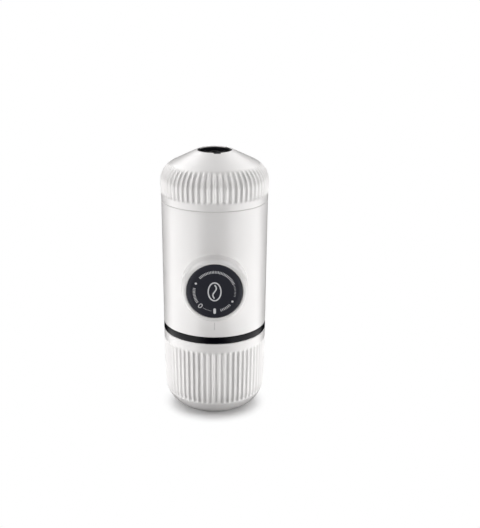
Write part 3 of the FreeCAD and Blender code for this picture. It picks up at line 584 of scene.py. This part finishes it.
class ESPRESSO_OT_cup(Operator):
    """Fluted drinking cup"""
    bl_idname = "espresso.cup"
    bl_label = "Cup"

    def execute(self, context):
        cup = context.scene.espresso.cup
        low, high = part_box("cup")
        rim = high.x
        foot = rim - (high.z - low.z) * math.tan(cup.draft)
        outline = dense(rounded([
            (0, low.z, 0),
            (foot, low.z, cup.foot_radius),
            (rim, high.z, cup.rim_round),
            (cup.bore, high.z, cup.rim_round),
            (cup.bore, low.z + cup.wall, cup.foot_radius - cup.wall),
            (0, low.z + cup.wall, 0),
        ]), SIDE_STEP)
        outside = slice(0, np.argmax(outline[:, 1]))         # from the foot to the rim
        start = np.interp(cup.flute_foot, outline[outside, 1], travel(outline)[outside])
        end = start + high.z - cup.flute_margin - cup.flute_foot
        grid = fluted(outline, start, end, cup.flute_fade, cup.flute_turn)
        build("cup_fluted", [grid], "abs_white_satin", "cup", ["cup"], crease=50)
        return {"FINISHED"}


def fluted(outline, start, end, fade, turn):
    """Surface of revolution with grooves along a span of its outline. They reach their depth over the blunt
    end where they start, and fade out over the last part of the span."""
    flutes = bpy.context.scene.espresso.flutes
    full = start + flutes.blunt_end
    outline = refined(outline, ((start, full), (end - fade, end)), FADE_STEP)
    run = travel(outline)
    sunk = ease(run, start, full) * (1 - ease(run, end - fade, end))
    angles = flute_columns(flutes)
    return turned(outline, angles + turn, flute_relief(angles, flutes) * sunk[:, None])


def flute_columns(flutes):
    """Angles of the mesh columns round a fluted piece: over each flute, closer at its crest, and one in the
    middle of each groove."""
    half = flutes.share * np.array([0.12, 0.3, 0.55, 0.8, 1])
    u = np.concatenate([-half[::-1], [0], half, [1]])
    pitch = 2 * math.pi / flutes.count
    crests = np.arange(flutes.count)[:, None] * pitch + FRONT
    return (crests + u * pitch / 2).ravel()


def from_nearest(angles, pitch, turn=0.0):
    """Angle from the nearest of several like places round the axis, the first turned from the front."""
    return np.abs((angles - FRONT - turn + pitch / 2) % pitch - pitch / 2)


def flute_relief(angles, flutes):
    """Depth below the crests. With v the way from a crest to the flute's edge, from 0 to 1, and e the crest's
    rounding, a flute is the hyperbola depth * (sqrt(v ** 2 + e ** 2) - e) / (sqrt(1 + e ** 2) - e), and the
    groove beside it is flat."""
    pitch = 2 * math.pi / flutes.count
    v, e = np.minimum(from_nearest(angles, pitch) / (pitch / 2) / flutes.share, 1), flutes.crest
    return flutes.depth * (np.sqrt(v ** 2 + e ** 2) - e) / (math.sqrt(1 + e ** 2) - e)


class ESPRESSO_OT_head_shell(Operator):
    """Fluted cap with its mouth"""
    bl_idname = "espresso.head_shell"
    bl_label = "Head shell"

    def execute(self, context):
        head = context.scene.espresso.head
        low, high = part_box("head_shell")
        fall = math.tan(head.slope)
        widest = (high.z - low.z) / 2.6      # about where the side passes into the shoulder
        lean = (high.x - head.rim_radius) / widest
        corner_r = (high.z - low.z + head.mouth_radius * fall + head.rim_radius / lean) / (1 / lean + fall)
        corner_z = high.z - (corner_r - head.mouth_radius) * fall
        drop = head.wall / math.cos(head.slope)
        bore = high.x - head.wall
        inside = (bore, low.z + 12 * MM, 0)          # both ends of the outline, some way up the inner wall
        outline = dense(rounded([
            inside,
            (bore, low.z, head.rim_round),
            (head.rim_radius, low.z, head.rim_round),
            (corner_r, corner_z, head.shoulder_radius),
            (head.mouth_radius, high.z, head.lip_round),
            (head.mouth_radius, high.z - drop, 0.2 * MM),
            (bore, high.z - drop - (bore - head.mouth_radius) * fall, head.shoulder_radius - head.wall),
            inside,
        ]), SIDE_STEP)
        run, (r, z) = travel(outline), outline.T
        # The side's first point past the rounding of the seam's edge, and the way from there to the mouth
        foot = np.argmax((r > head.rim_radius - 0.01 * MM) & (z > low.z + head.rim_round - 0.05 * MM))
        outer = slice(foot, np.argmax(z) + 1)
        bend_r = high.x - head.shoulder_radius
        bend_z = high.z - (bend_r - head.mouth_radius) * fall - head.shoulder_radius / math.cos(head.slope)
        start = run[foot] + head.flute_margin - head.rim_round
        end = np.interp(bend_z + head.shoulder_radius * math.sin(head.flute_top), z[outer], run[outer])
        grid = fluted(outline, start, end, head.flute_fade, turn=0)
        cut_slots(grid, head)
        build("head_fluted", [grid], "abs_white_satin", "head", ["head_shell"], crease=50)
        return {"FINISHED"}


def cut_slots(grid, head):
    """Key slots in the mouth: each point near the mouth moves out by depth * step(angle) * step(radius), and
    down the slope by as much as it moves."""
    radius = np.hypot(grid[..., 0], grid[..., 1])
    angle_z = np.arctan2(grid[..., 1], grid[..., 0])
    off = from_nearest(angle_z, 2 * math.pi / head.slot_count, head.slot_turn)
    half, side = head.slot_width / 2, 0.02           # a slot's side rises over twice this angle
    full, none = 0.4 * MM, 2.4 * MM                  # a slot is whole, and ends, so far from the mouth's edge
    shift = head.slot_depth * (1 - ease(off, half - side, half + side))
    shift *= 1 - ease(radius, head.mouth_radius + full, head.mouth_radius + none)
    grid[..., :2] *= (1 + shift / radius)[..., None]
    grid[..., 2] -= shift * math.tan(head.slope)


class ESPRESSO_OT_sleeve(Operator):
    """Plain sleeve with the turret round the knob, and its index line"""
    bl_idname = "espresso.sleeve"
    bl_label = "Sleeve"

    def execute(self, context):
        sleeve = context.scene.espresso.sleeve
        low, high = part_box("body_shell")

        def outer(z):
            """Outer radius of the sleeve at a height: a straight taper between its two rims."""
            share = (z - low.z) / (high.z - low.z)
            return sleeve.lower_radius + (sleeve.upper_radius - sleeve.lower_radius) * share

        grids, sheets = sleeve_grids(sleeve, context.scene.espresso.turret, outer, low.z, high.z)
        build("sleeve_turret", grids, "abs_white_satin", "main_body", ["body_shell"],
              crease=40, sheets=sheets)

        z = np.linspace(sleeve.index_low, sleeve.index_high, 9)
        radius = outer(z) + sleeve.index_ink
        half, sunk = sleeve.index_width / 2, 0.2 * MM        # the ink's lower side lies inside the sleeve
        rails = [np.column_stack([x + 0 * z, sink - np.sqrt(radius ** 2 - x ** 2), z])
                 for x, sink in ((-half, 0), (half, 0), (half, sunk), (-half, sunk))]
        build("index_line", [np.stack(rails, 1)], "ink_grey", "main_body")
        return {"FINISHED"}


def conic(start, corner, end, weight, steps):
    """Arcs from start to end with their tangents meeting at the corner: the rational quadratic curve
    ((1-t)^2 start + 2 w t (1-t) corner + t^2 end) / ((1-t)^2 + 2 w t (1-t) + t^2), one row for each t. For
    an arc of a circle the weight w is the cosine of half its turn."""
    t = np.linspace(0, 1, steps + 1)[:, None, None]
    w = weight[None, :, None]
    below = (1 - t) ** 2 + 2 * w * t * (1 - t) + t ** 2
    return ((1 - t) ** 2 * start + 2 * w * t * (1 - t) * corner + t ** 2 * end) / below


def turret_rows(turret, out, grade, ways):
    """Rows of the turret from the fillet over the leaning side, the rounded lip and the face to the ledge of
    the recess, as distances from the pump axis and from the machine's axis, for each of the ways round the
    pump axis. The sleeve's surface is out(rho), and grade(rho) is its slope."""
    rounds = 12               # after which both curves below have settled
    lean = math.tan(turret.draft)
    up = np.array([-math.sin(turret.draft), math.cos(turret.draft)])

    # Where the leaning side meets the sleeve, and how far out the fillet reaches with its radius
    meet = np.full(ways, turret.radius)
    for _ in range(rounds):
        meet = turret.radius + (turret.face - out(meet)) * lean
    spread = np.full(ways, turret.root)
    for _ in range(rounds):
        rho = meet + spread
        away = np.column_stack([np.ones(ways), grade(rho)])
        away /= np.linalg.norm(away, axis=1, keepdims=True)
        room = (rho - turret.radius - (turret.face - out(rho)) * lean) / (away @ [1, lean])
        half_turn = np.arccos(np.clip(-(away @ up), -1, 1)) / 2
        spread *= turret.root * np.tan(half_turn) / room
    edge = np.column_stack([rho, out(rho)])
    corner = edge - away * room[:, None]
    fillet = conic(edge, corner, corner + up * room[:, None], np.cos(half_turn), steps=12)

    rim = np.tile([turret.radius, turret.face], (ways, 1))
    half_turn = np.full(ways, (math.pi / 2 - turret.draft) / 2)
    lip = conic(rim - up * turret.lip, rim, rim - [turret.lip, 0.0], np.cos(half_turn), steps=6)
    wall = fillet[-1] + (lip[0] - fillet[-1]) * np.linspace(0, 1, 5)[1:-1, None, None]
    recess = [np.tile(point, (ways, 1)) for point in (
        (turret.mouth + turret.chamfer, turret.face), (turret.mouth, turret.face - turret.chamfer),
        (turret.mouth, turret.ledge), (turret.bore, turret.ledge))]
    return np.concatenate([fillet, wall, lip, recess])


def sleeve_grids(sleeve, turret, outer, low, high):
    """The sleeve is a tapered tube with a rectangular window, in angle and height, filled by a polar patch.
    Across the patch the rows run from the window's edge over the sleeve and the turret, down its bore, and
    back over the inner wall to the window's edge."""
    side = 48                 # mesh steps along each side of the window
    half_angle, reach = sleeve.window_angle, sleeve.window_reach
    one, step = np.ones(side), np.arange(side) / side
    edge_angle = np.concatenate([one, 1 - 2 * step, -one, 2 * step - 1]) * half_angle
    edge_z = PUMP_Z + reach * np.concatenate([2 * step - 1, one, 1 - 2 * step, -one])
    way = np.arctan2(edge_z - PUMP_Z, outer(edge_z) * np.sin(edge_angle))
    c, s = np.cos(way), np.sin(way)
    taper = (sleeve.upper_radius - sleeve.lower_radius) / (high - low)

    def out(rho):
        """Sleeve's surface in front of the axis, at a distance from the pump axis along each way."""
        return np.sqrt(outer(PUMP_Z + rho * s) ** 2 - (rho * c) ** 2)

    def grade(rho):
        """Slope of that surface along each way: (R R' sin - rho cos^2) / out."""
        return (outer(PUMP_Z + rho * s) * taper * s - rho * c ** 2) / out(rho)

    inner = np.sqrt(sleeve.bore ** 2 - (turret.bore * c) ** 2)
    hole = np.column_stack([np.full(len(way), turret.bore), inner])
    rows = np.concatenate([turret_rows(turret, out, grade, len(way)), hole[None]])
    patch = np.stack([rows[..., 0] * c, -rows[..., 1], PUMP_Z + rows[..., 0] * s], -1)

    def on_wall(end, radius_of, steps):
        """Rows over the wall from the window's edge to a row of the patch, even in angle and height."""
        t = np.linspace(0, 1, steps + 1)[:, None]
        a = edge_angle + (np.arctan2(end[:, 0] * c, end[:, 1]) - edge_angle) * t
        z = edge_z + (PUMP_Z + end[:, 0] * s - edge_z) * t
        return np.stack([radius_of(z) * np.sin(a), -radius_of(z) * np.cos(a), z], -1)

    under = on_wall(hole, lambda z: sleeve.bore + 0 * z, steps=10)[::-1]
    grids = [np.concatenate([on_wall(rows[0], outer, steps=12)[:-1], patch, under[1:]])]

    # The rest of the tube: its two rims, and the walls behind the window
    across = np.arange(side + 1) / side * 2 - 1
    behind = np.linspace(half_angle, 2 * math.pi - half_angle, 97)
    round_trip = np.concatenate([across * half_angle, behind[1:-1]]) + FRONT
    for near, rim in ((PUMP_Z - reach, low), (PUMP_Z + reach, high)):
        band = rounded([(outer(near), near, 0), (outer(rim), rim, 0.3 * MM), (sleeve.bore, rim, 0.2 * MM),
                        (sleeve.bore, near, 0)], steps=4)
        grids.append(turned(dense(band, spacing=3 * MM), round_trip))
    z = PUMP_Z + reach * across
    walls = [turned(np.column_stack([radius, z]), behind + FRONT)
             for radius in (outer(z), sleeve.bore + 0 * z)]
    return grids, walls


class ESPRESSO_OT_collar(Operator):
    """Polished black ring between the cup and the sleeve"""
    bl_idname = "espresso.collar"
    bl_label = "Collar"

    def execute(self, context):
        low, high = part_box("tank_collar")
        collar = context.scene.espresso.collar
        start = (high.x - 1.2 * MM, low.z, 0)        # on the flat underside
        outline = rounded([
            start,
            (high.x, low.z, collar.edge_round),
            (high.x, high.z, collar.edge_round),
            (collar.neck_bore, high.z, 0.15 * MM),
            (collar.neck_bore, high.z - collar.web, 0.1 * MM),
            (collar.bore, high.z - collar.web, 0.1 * MM),
            (collar.bore, low.z, 0.1 * MM),
            start,
        ], steps=4)
        grid = turned(outline, full_turn(columns=256))
        build("collar_ring", [grid], "polycarbonate_black_polished", "tank", ["tank_collar"])
        return {"FINISHED"}


class ESPRESSO_OT_knob(Operator):
    """Knob face with its printed marks"""
    bl_idname = "espresso.knob"
    bl_label = "Knob"

    def execute(self, context):
        knob = context.scene.espresso.knob
        face = -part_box("piston_cap")[0].y
        back = face - knob.depth
        outline = rounded([
            (0, face - knob.plate, 0),
            (knob.radius - knob.skirt, face - knob.plate, 0.1 * MM),
            (knob.radius - knob.skirt, back, 0.1 * MM),
            (knob.radius, back, 0.15 * MM),
            (knob.radius, face - knob.bevel_height, knob.edge_round),
            (knob.radius - knob.bevel_width, face, 0.5 * MM),
            (0, face, 0),
        ], steps=10)
        grid = onto_pump_axis(turned(dense(outline, spacing=1.5 * MM), full_turn(columns=192)))
        build("knob_face", [grid], "abs_knob_satin", "knob", ["piston_cap"])
        build("knob_marks", knob_marks(knob, face), "ink_white", "knob", crease=60)
        return {"FINISHED"}


def knob_marks(knob, face):
    """Ink on the knob: a filled and an open mark joined by dots, two round dots, a ring of dashes in
    four runs, the one on the right finer, and an outlined coffee bean in the middle."""
    ring = knob.mark_radius
    ink = face - 0.01 * MM, knob.print_height        # it starts just under the face
    filled, bean_line = FRONT, 0.72 * MM
    hollow = filled - knob.turn
    marks = []

    def draw(turn, half, width):
        """Stroke across the ring at an angle, half its length to each side."""
        way = np.array([math.cos(turn), math.sin(turn)])
        marks.append(stroke(np.outer([ring - half, ring, ring + half], way), width, *ink))

    def draw_dot(turn, radius):
        """Round dot on the ring at an angle: a level stroke as wide as it is long."""
        middle = ring * np.array([math.cos(turn), math.sin(turn)])
        marks.append(stroke(middle + np.outer([-radius, 0, radius], [1, 0]), 2 * radius, *ink))

    def draw_oval(middle, half_width, half_height, turn, steps, width):
        """Line round an ellipse that is turned about its middle."""
        a = np.linspace(0, 2 * math.pi, steps + 1)
        across, along = half_width * np.cos(a), half_height * np.sin(a)
        path = np.stack([across * math.cos(turn) - along * math.sin(turn),
                         across * math.sin(turn) + along * math.cos(turn)], 1) + middle
        marks.append(print_strip(path, np.full(steps + 1, width), *ink))

    draw(filled, half=1.65 * MM, width=1.5 * MM)
    draw_oval((ring * math.cos(hollow), ring * math.sin(hollow)), 0.85 * MM, 1.25 * MM,
              turn=hollow + math.pi / 2, steps=40, width=0.42 * MM)
    for share in np.linspace(0.24, 0.76, 7):
        draw_dot(hollow + share * knob.turn, 0.17 * MM)
    for turn in (155, -30):
        draw_dot(math.radians(turn), 0.62 * MM)
    spacing = 4.2             # degrees between dashes, at least
    for first, last, half, wide in (          # run in degrees, half a dash's length and its width in mm
            (135, 24, 0.75, 0.36), (212, 170, 0.75, 0.36), (-43, -72, 0.75, 0.36), (20, -14, 0.5, 0.16)):
        for turn in np.radians(np.linspace(first, last, int(abs(first - last) / spacing) + 1)):
            draw(turn, half * MM, wide * MM)
    draw_oval((0, 0), 3.5 * MM, 5.2 * MM, turn=0, steps=72, width=bean_line)
    t = np.linspace(-1, 1, 33)
    marks.append(stroke(np.stack([0.95 * MM * np.sin(math.pi * t), 4.0 * MM * t], 1), bean_line, *ink))
    return marks


class ESPRESSO_OT_tank(Operator):
    """Clear water tank with its threaded neck"""
    bl_idname = "espresso.tank"
    bl_label = "Water tank"

    def execute(self, context):
        espresso = context.scene.espresso
        tank, wall = espresso.tank, espresso.tank.wall
        low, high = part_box("water_tank")
        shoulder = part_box("tank_collar")[1].z - espresso.collar.web
        outline = rounded([
            (0, low.z, 0),
            (high.x, low.z, tank.foot_round),
            (high.x, shoulder, 0.2 * MM),
            (tank.neck, shoulder, 0.2 * MM),
            (tank.neck, high.z, 0.3 * MM),
            (tank.neck_bore, high.z, 0.3 * MM),
            (tank.neck_bore, shoulder - wall, 1.0 * MM),
            (high.x - wall, shoulder - 2 * wall, 1.0 * MM),
            (high.x - wall, low.z + wall, tank.foot_round - wall),
            (0, low.z + wall, 0),
        ])
        grid = turned(dense(outline, spacing=4 * MM), full_turn(columns=192))
        build("tank_clear", [grid], "polycarbonate_smoke", "tank", ["water_tank"])
        ridge = thread(espresso.thread, tank.neck, shoulder + tank.thread_start)
        build("tank_thread", [ridge], "polycarbonate_smoke", "tank")
        return {"FINISHED"}


def thread(shape, radius, start):
    """Ridge of a screw thread: a trapezoid carried up a helix, its height easing to nothing at both ends."""
    steps = 96                # in one turn
    t = np.linspace(0, shape.turns, int(shape.turns * steps) + 1)
    a = 2 * math.pi * t + FRONT
    run_out = 0.12            # turns over which the ridge fades at each end
    foot, top = 0.32, 0.12    # half the ridge's width at its foot and on top, in pitches
    crest = radius + shape.height * ease(t, 0, run_out) * (1 - ease(t, shape.turns - run_out, shape.turns))
    root = radius - 0.1 * MM + 0 * t          # just inside the neck
    rails = [np.column_stack([r * np.cos(a), r * np.sin(a), start + shape.pitch * (t + rise)])
             for r, rise in ((root, -foot), (crest, -top), (crest, top), (root, foot))]
    return np.stack(rails, 1)


class ESPRESSO_OT_springs(Operator):
    """Round-wire return spring and outlet spring"""
    bl_idname = "espresso.springs"
    bl_label = "Springs"

    def execute(self, context):
        low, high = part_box("return_spring")
        coil, wire = 8.6 * MM, 0.6 * MM              # radii of the coil and of its wire
        path = spring_path(coil, -high.y + wire, -low.y - wire, turns=7)
        grid = onto_pump_axis(swept(path, sides=10, radius=wire))
        spring = build("return_spring_wire", [grid], "steel_wire", None, ["return_spring"])
        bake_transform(spring)

        low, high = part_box("outlet_spring")
        coil, wire = 2.6 * MM, 0.25 * MM
        middle = (low + high) / 2
        path = spring_path(coil, low.z + wire, high.z - wire, turns=5) + [0, middle.y, 0]
        grid = swept(path, sides=8, radius=wire)
        spring = build("outlet_spring_wire", [grid], "steel_wire", None, ["outlet_spring"])
        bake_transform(spring)
        return {"FINISHED"}


def spring_path(radius, low, high, turns):
    """Compression spring with closed ends: the angle runs evenly, and the climb lies between them."""
    closed, steps = 0.8, 32   # turns at each end that lie flat, and mesh steps in one turn
    t = np.linspace(0, turns, turns * steps + 1)
    climb = np.clip((t - closed) / (turns - 2 * closed), 0, 1)
    a = 2 * math.pi * t
    return np.stack([radius * np.cos(a), radius * np.sin(a), low + (high - low) * climb], 1)


class ESPRESSO_OT_scoop(Operator):
    """Coffee scoop kept in the basket"""
    bl_idname = "espresso.scoop"
    bl_label = "Scoop"

    def execute(self, context):
        scoop = context.scene.espresso.scoop
        low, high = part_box("scoop")
        edge, bore = scoop.edge_round, scoop.radius - scoop.wall
        outline = rounded([
            (0, low.z, 0),
            (scoop.radius, low.z, scoop.foot_round),
            (scoop.radius, high.z, edge),
            (bore, high.z, edge),
            (bore, low.z + scoop.wall, scoop.foot_round),
            (0, low.z + scoop.wall, 0),
        ], steps=5)
        bowl = turned(dense(outline, spacing=2 * MM), full_turn(columns=128)) - [scoop.offset, 0, 0]

        # The tab's outline: its heel inside the bowl's wall, a corner, its curved tip and the other corner
        half, root = scoop.tab_width / 2, scoop.radius - scoop.wall / 2
        swing = np.linspace(1, -1, 13) * math.asin(half / root)
        way = np.linspace(-1, 1, 13) * math.asin((half - scoop.tab_corner) / high.x)
        tip = high.x * np.column_stack([np.cos(way), np.sin(way)])
        heel = root * np.column_stack([np.cos(swing), np.sin(swing)]) - [scoop.offset, 0]
        corner = rounded([(*heel[0], 0), (math.sqrt(high.x ** 2 - half ** 2), half, scoop.tab_corner),
                          (*tip[-1], 0)])[1:-1]
        flat = np.concatenate([heel, corner * (1, -1), tip, corner[::-1]])
        tab = plate(flat, high.z - scoop.tab_thickness, high.z, edge)
        build("scoop_smooth", [bowl, tab], "abs_black_satin", "scoop", ["scoop"])
        return {"FINISHED"}


def plate(flat, low, high, edge):
    """Plate with rounded edges: rows of its flat outline, drawn in towards its middle by edge * (1 - sin t)
    at the heights edge * (1 - cos t) inside both faces, and a point in the middle of each face."""
    middle = flat.mean(axis=0)
    away = middle - flat
    away /= np.linalg.norm(away, axis=1, keepdims=True)
    t = np.linspace(0, math.pi / 2, 5)
    inset = np.concatenate([edge * (1 - np.sin(t)), edge * (1 - np.sin(t[::-1]))])
    height = np.concatenate([low + edge * (1 - np.cos(t)), high - edge * (1 - np.cos(t[::-1]))])
    rows = flat[None] + inset[:, None, None] * away[None]
    rows = np.concatenate([middle + 0 * rows[:1], rows, middle + 0 * rows[:1]])
    height = np.concatenate([[low], height, [high]])
    return np.concatenate([rows, height[:, None, None] + 0 * rows[..., :1]], 2)


class ESPRESSO_OT_group_thread(Operator):
    """Thread on the neck of the group head"""
    bl_idname = "espresso.group_thread"
    bl_label = "Group thread"

    def execute(self, context):
        shape = context.scene.espresso.thread
        ridge = thread(shape, shape.group_neck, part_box("body_shell")[1].z + shape.group_start)
        build("group_thread", [ridge], "abs_black_satin", "main_body")
        return {"FINISHED"}


class ESPRESSO_OT_inner_finishes(Operator):
    """Finishes of the pieces that keep their CAD shape"""
    bl_idname = "espresso.inner_finishes"
    bl_label = "Inner finishes"

    def execute(self, context):
        for look, nodes in {
            "abs_black_satin": ("tank_socket", "group_head", "head_liner", "nozzle", "guide_bush",
                                "piston_sleeve", "filter_basket"),
            "polypropylene_grey": ("pump_block", "valve_cap", "outlet_poppet", "plunger_head"),
            "silicone_moulded": ("tank_gasket", "piston_seals", "port_seals", "inlet_valve", "vent_valve",
                                 "group_gasket"),
            "steel_turned": ("plunger_rod", "cylinder_liner", "screen_screw", "block_screws", "rod_clip"),
            "steel_pressed": ("shower_screen", "basket_screen"),
        }.items():
            for piece in [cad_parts[node] for node in nodes]:
                if not piece.material_slots:
                    piece.data.materials.append(None)
                for holder in piece.material_slots:
                    holder.material = finish(look)
        return {"FINISHED"}


class ESPRESSO_OT_stage(Operator):
    """Floor, room, lights and camera"""
    bl_idname = "espresso.stage"
    bl_label = "Stage"

    def execute(self, context):
        stage = context.scene.espresso.stage
        make_floor(stage)
        make_room(stage)
        distance, height, aim = 0.75, 0.13, 0.085        # side lights, in metres
        for name, turn in (("softbox_left", -stage.side_turn), ("softbox_right", stage.side_turn)):
            place = (distance * math.sin(turn), -distance * math.cos(turn), height)
            add_light(name, place, aim, size=(0.34, 0.62), power=stage.side_power)
        add_light("overhead", place=(0, 0.42, 0.72), aim=0.1, size=(0.6, 0.4), power=stage.top_power)

        camera = bpy.data.objects.new("camera", bpy.data.cameras.new("camera"))
        context.scene.collection.objects.link(camera)
        camera.data.lens = stage.lens
        camera.data.shift_x, camera.data.shift_y = stage.shift
        camera.location = (0, -stage.distance * math.cos(stage.elevation),
                           stage.target + stage.distance * math.sin(stage.elevation))
        camera.rotation_euler = (math.pi / 2 - stage.elevation, 0, 0)
        camera.data.clip_start = 0.01
        context.scene.camera = camera
        context.scene.view_settings.view_transform = "Standard"
        return {"FINISHED"}


def add_light(name, place, aim, size, power):
    """Rectangular softbox that faces the machine's axis at a height. Gloss sees the room and the floor
    instead of it."""
    lamp = bpy.data.lights.new(name, "AREA")
    lamp.shape = "RECTANGLE"
    lamp.size, lamp.size_y = size
    lamp.energy = power
    light = bpy.data.objects.new(name, lamp)
    bpy.context.scene.collection.objects.link(light)
    light.location = place
    x, y, z = place
    light.rotation_euler = (math.atan2(math.hypot(x, y), z - aim), 0, math.atan2(-y, -x) - math.pi / 2)
    light.visible_glossy = False


def make_floor(stage):
    """Pale floor: matte near the machine, so that it takes the shadow, plain white further out, and clear
    from below. It bounces a little less light onto the machine than it shows. Gloss sees it bright to both
    sides, and dark in front, behind and under the machine: side glow * step(c, front gap) * step(c, back
    gap) * step(r), with c the cosine of the angle from the front and r the distance from the middle."""
    material, tree, place = new_material("floor_white")
    reach = add(tree, "VectorMath", {0: place}, operation="LENGTH").outputs["Value"]
    level = add(tree, "VectorMath", {0: place, 1: (1, 1, 0)}, operation="MULTIPLY")
    unit = add(tree, "VectorMath", {0: level}, operation="NORMALIZE")
    ahead = add(tree, "SeparateXYZ", {0: unit}).outputs["Y"]
    far, clear, front, back = [
        add(tree, "MapRange", {"Value": value, "From Min": start, "From Max": end, "To Max": top},
            interpolation_type="SMOOTHSTEP")
        for value, start, end, top in (
            (reach, 0.020, 0.033, 1.0),                  # metres from the middle, under the cup and round it
            (reach, 0.03, 0.055, stage.side_glow),
            (ahead, -math.cos(stage.front_gap), -math.cos(stage.front_full), 1.0),
            (ahead, -math.cos(stage.back_gap), -math.cos(stage.back_full), 1.0))]
    sides = add(tree, "Math", {0: front, 1: back}, operation="MULTIPLY")
    strength = add(tree, "Math", {0: sides, 1: clear}, operation="MULTIPLY")
    glow, plain = [add(tree, "Emission", {"Color": WHITE, "Strength": value}) for value in (strength, 1.0)]
    near, dim = [add(tree, "BsdfDiffuse", {"Color": (grey, grey, grey, 1.0)}) for grey in (0.9, 0.72)]
    seen = add(tree, "MixShader", {0: far, 1: near, 2: plain})
    path = add(tree, "LightPath").outputs
    bounced = add(tree, "MixShader", {0: path["Is Glossy Ray"], 1: dim, 2: glow})
    above = add(tree, "MixShader", {0: path["Is Camera Ray"], 1: bounced, 2: seen})
    under = add(tree, "NewGeometry").outputs["Backfacing"]
    surface = add(tree, "MixShader", {0: under, 1: above, 2: add(tree, "BsdfTransparent")})
    add(tree, "OutputMaterial", {"Surface": surface})
    half = 3.0                # metres
    mesh = bpy.data.meshes.new("floor")
    corners = [(-half, -half, 0), (half, -half, 0), (half, half, 0), (-half, half, 0)]
    mesh.from_pydata(corners, [], [(0, 1, 2, 3)])
    mesh.materials.append(material)
    floor = bpy.data.objects.new("floor", mesh)
    bpy.context.scene.collection.objects.link(floor)


def make_room(stage):
    """Room: white where the camera looks past the machine, an even pale light on it, and two bright sides for
    its gloss, which begin at a height."""
    world = bpy.data.worlds.new("room")
    bpy.context.scene.world = world
    world.use_nodes = True
    tree = world.node_tree
    tree.nodes.clear()
    way = add(tree, "SeparateXYZ", {0: add(tree, "TexCoord").outputs["Generated"]}).outputs
    left, right, high = [
        add(tree, "MapRange", {"Value": way[axis], "From Min": start, "From Max": end, "To Max": top},
            interpolation_type="SMOOTHSTEP")
        for axis, start, end, top in (
            ("X", -0.08, -0.45, stage.left_glow),        # parts of a unit direction: dark, and full
            ("X", 0.08, 0.45, stage.right_glow),
            ("Z", 0.22, 0.6, 1.0))]
    sides = add(tree, "Math", {0: left, 1: right}, operation="ADD")
    glow = add(tree, "Math", {0: sides, 1: high}, operation="MULTIPLY")
    glossy, even, white = [add(tree, "Background", {"Color": WHITE, "Strength": strength})
                           for strength in (glow, stage.ambient, 1.0)]
    path = add(tree, "LightPath").outputs
    seen = even
    for ray, shader in (("Is Glossy Ray", glossy), ("Is Transmission Ray", white), ("Is Camera Ray", white)):
        seen = add(tree, "MixShader", {0: path[ray], 1: seen, 2: shader})
    add(tree, "OutputWorld", {"Surface": seen})


class ESPRESSO_PT_panel(Panel):
    """Lists the pieces"""
    bl_idname = "ESPRESSO_PT_panel"
    bl_label = "Espresso maker"
    bl_space_type = "VIEW_3D"
    bl_region_type = "UI"
    bl_category = "Espresso"

    def draw(self, context):
        for operator in OPERATORS:
            self.layout.operator(operator.bl_idname)


SETTINGS = (FluteSettings, CupSettings, HeadSettings, SleeveSettings, TurretSettings, KnobSettings,
            CollarSettings, TankSettings, ThreadSettings, ScoopSettings, FinishSettings, StageSettings,
            EspressoSettings)
OPERATORS = (ESPRESSO_OT_cup, ESPRESSO_OT_head_shell, ESPRESSO_OT_sleeve, ESPRESSO_OT_collar,
             ESPRESSO_OT_knob, ESPRESSO_OT_tank, ESPRESSO_OT_springs, ESPRESSO_OT_scoop,
             ESPRESSO_OT_group_thread, ESPRESSO_OT_inner_finishes, ESPRESSO_OT_stage)
CLASSES = SETTINGS + OPERATORS + (ESPRESSO_PT_panel,)


def register():
    """Registers the classes and the settings."""
    for made in CLASSES:
        bpy.utils.register_class(made)
    bpy.types.Scene.espresso = PointerProperty(type=EspressoSettings)


def unregister():
    """Takes the classes and the settings away again."""
    del bpy.types.Scene.espresso
    for made in reversed(CLASSES):
        bpy.utils.unregister_class(made)


def main():
    """Builds every piece and the stage."""
    register()
    bpy.ops.espresso.cup()
    bpy.ops.espresso.head_shell()
    bpy.ops.espresso.sleeve()
    bpy.ops.espresso.collar()
    bpy.ops.espresso.knob()
    bpy.ops.espresso.tank()
    bpy.ops.espresso.springs()
    bpy.ops.espresso.scoop()
    bpy.ops.espresso.group_thread()
    bpy.ops.espresso.inner_finishes()
    bpy.ops.espresso.stage()


if __name__ == "__main__":
    main()
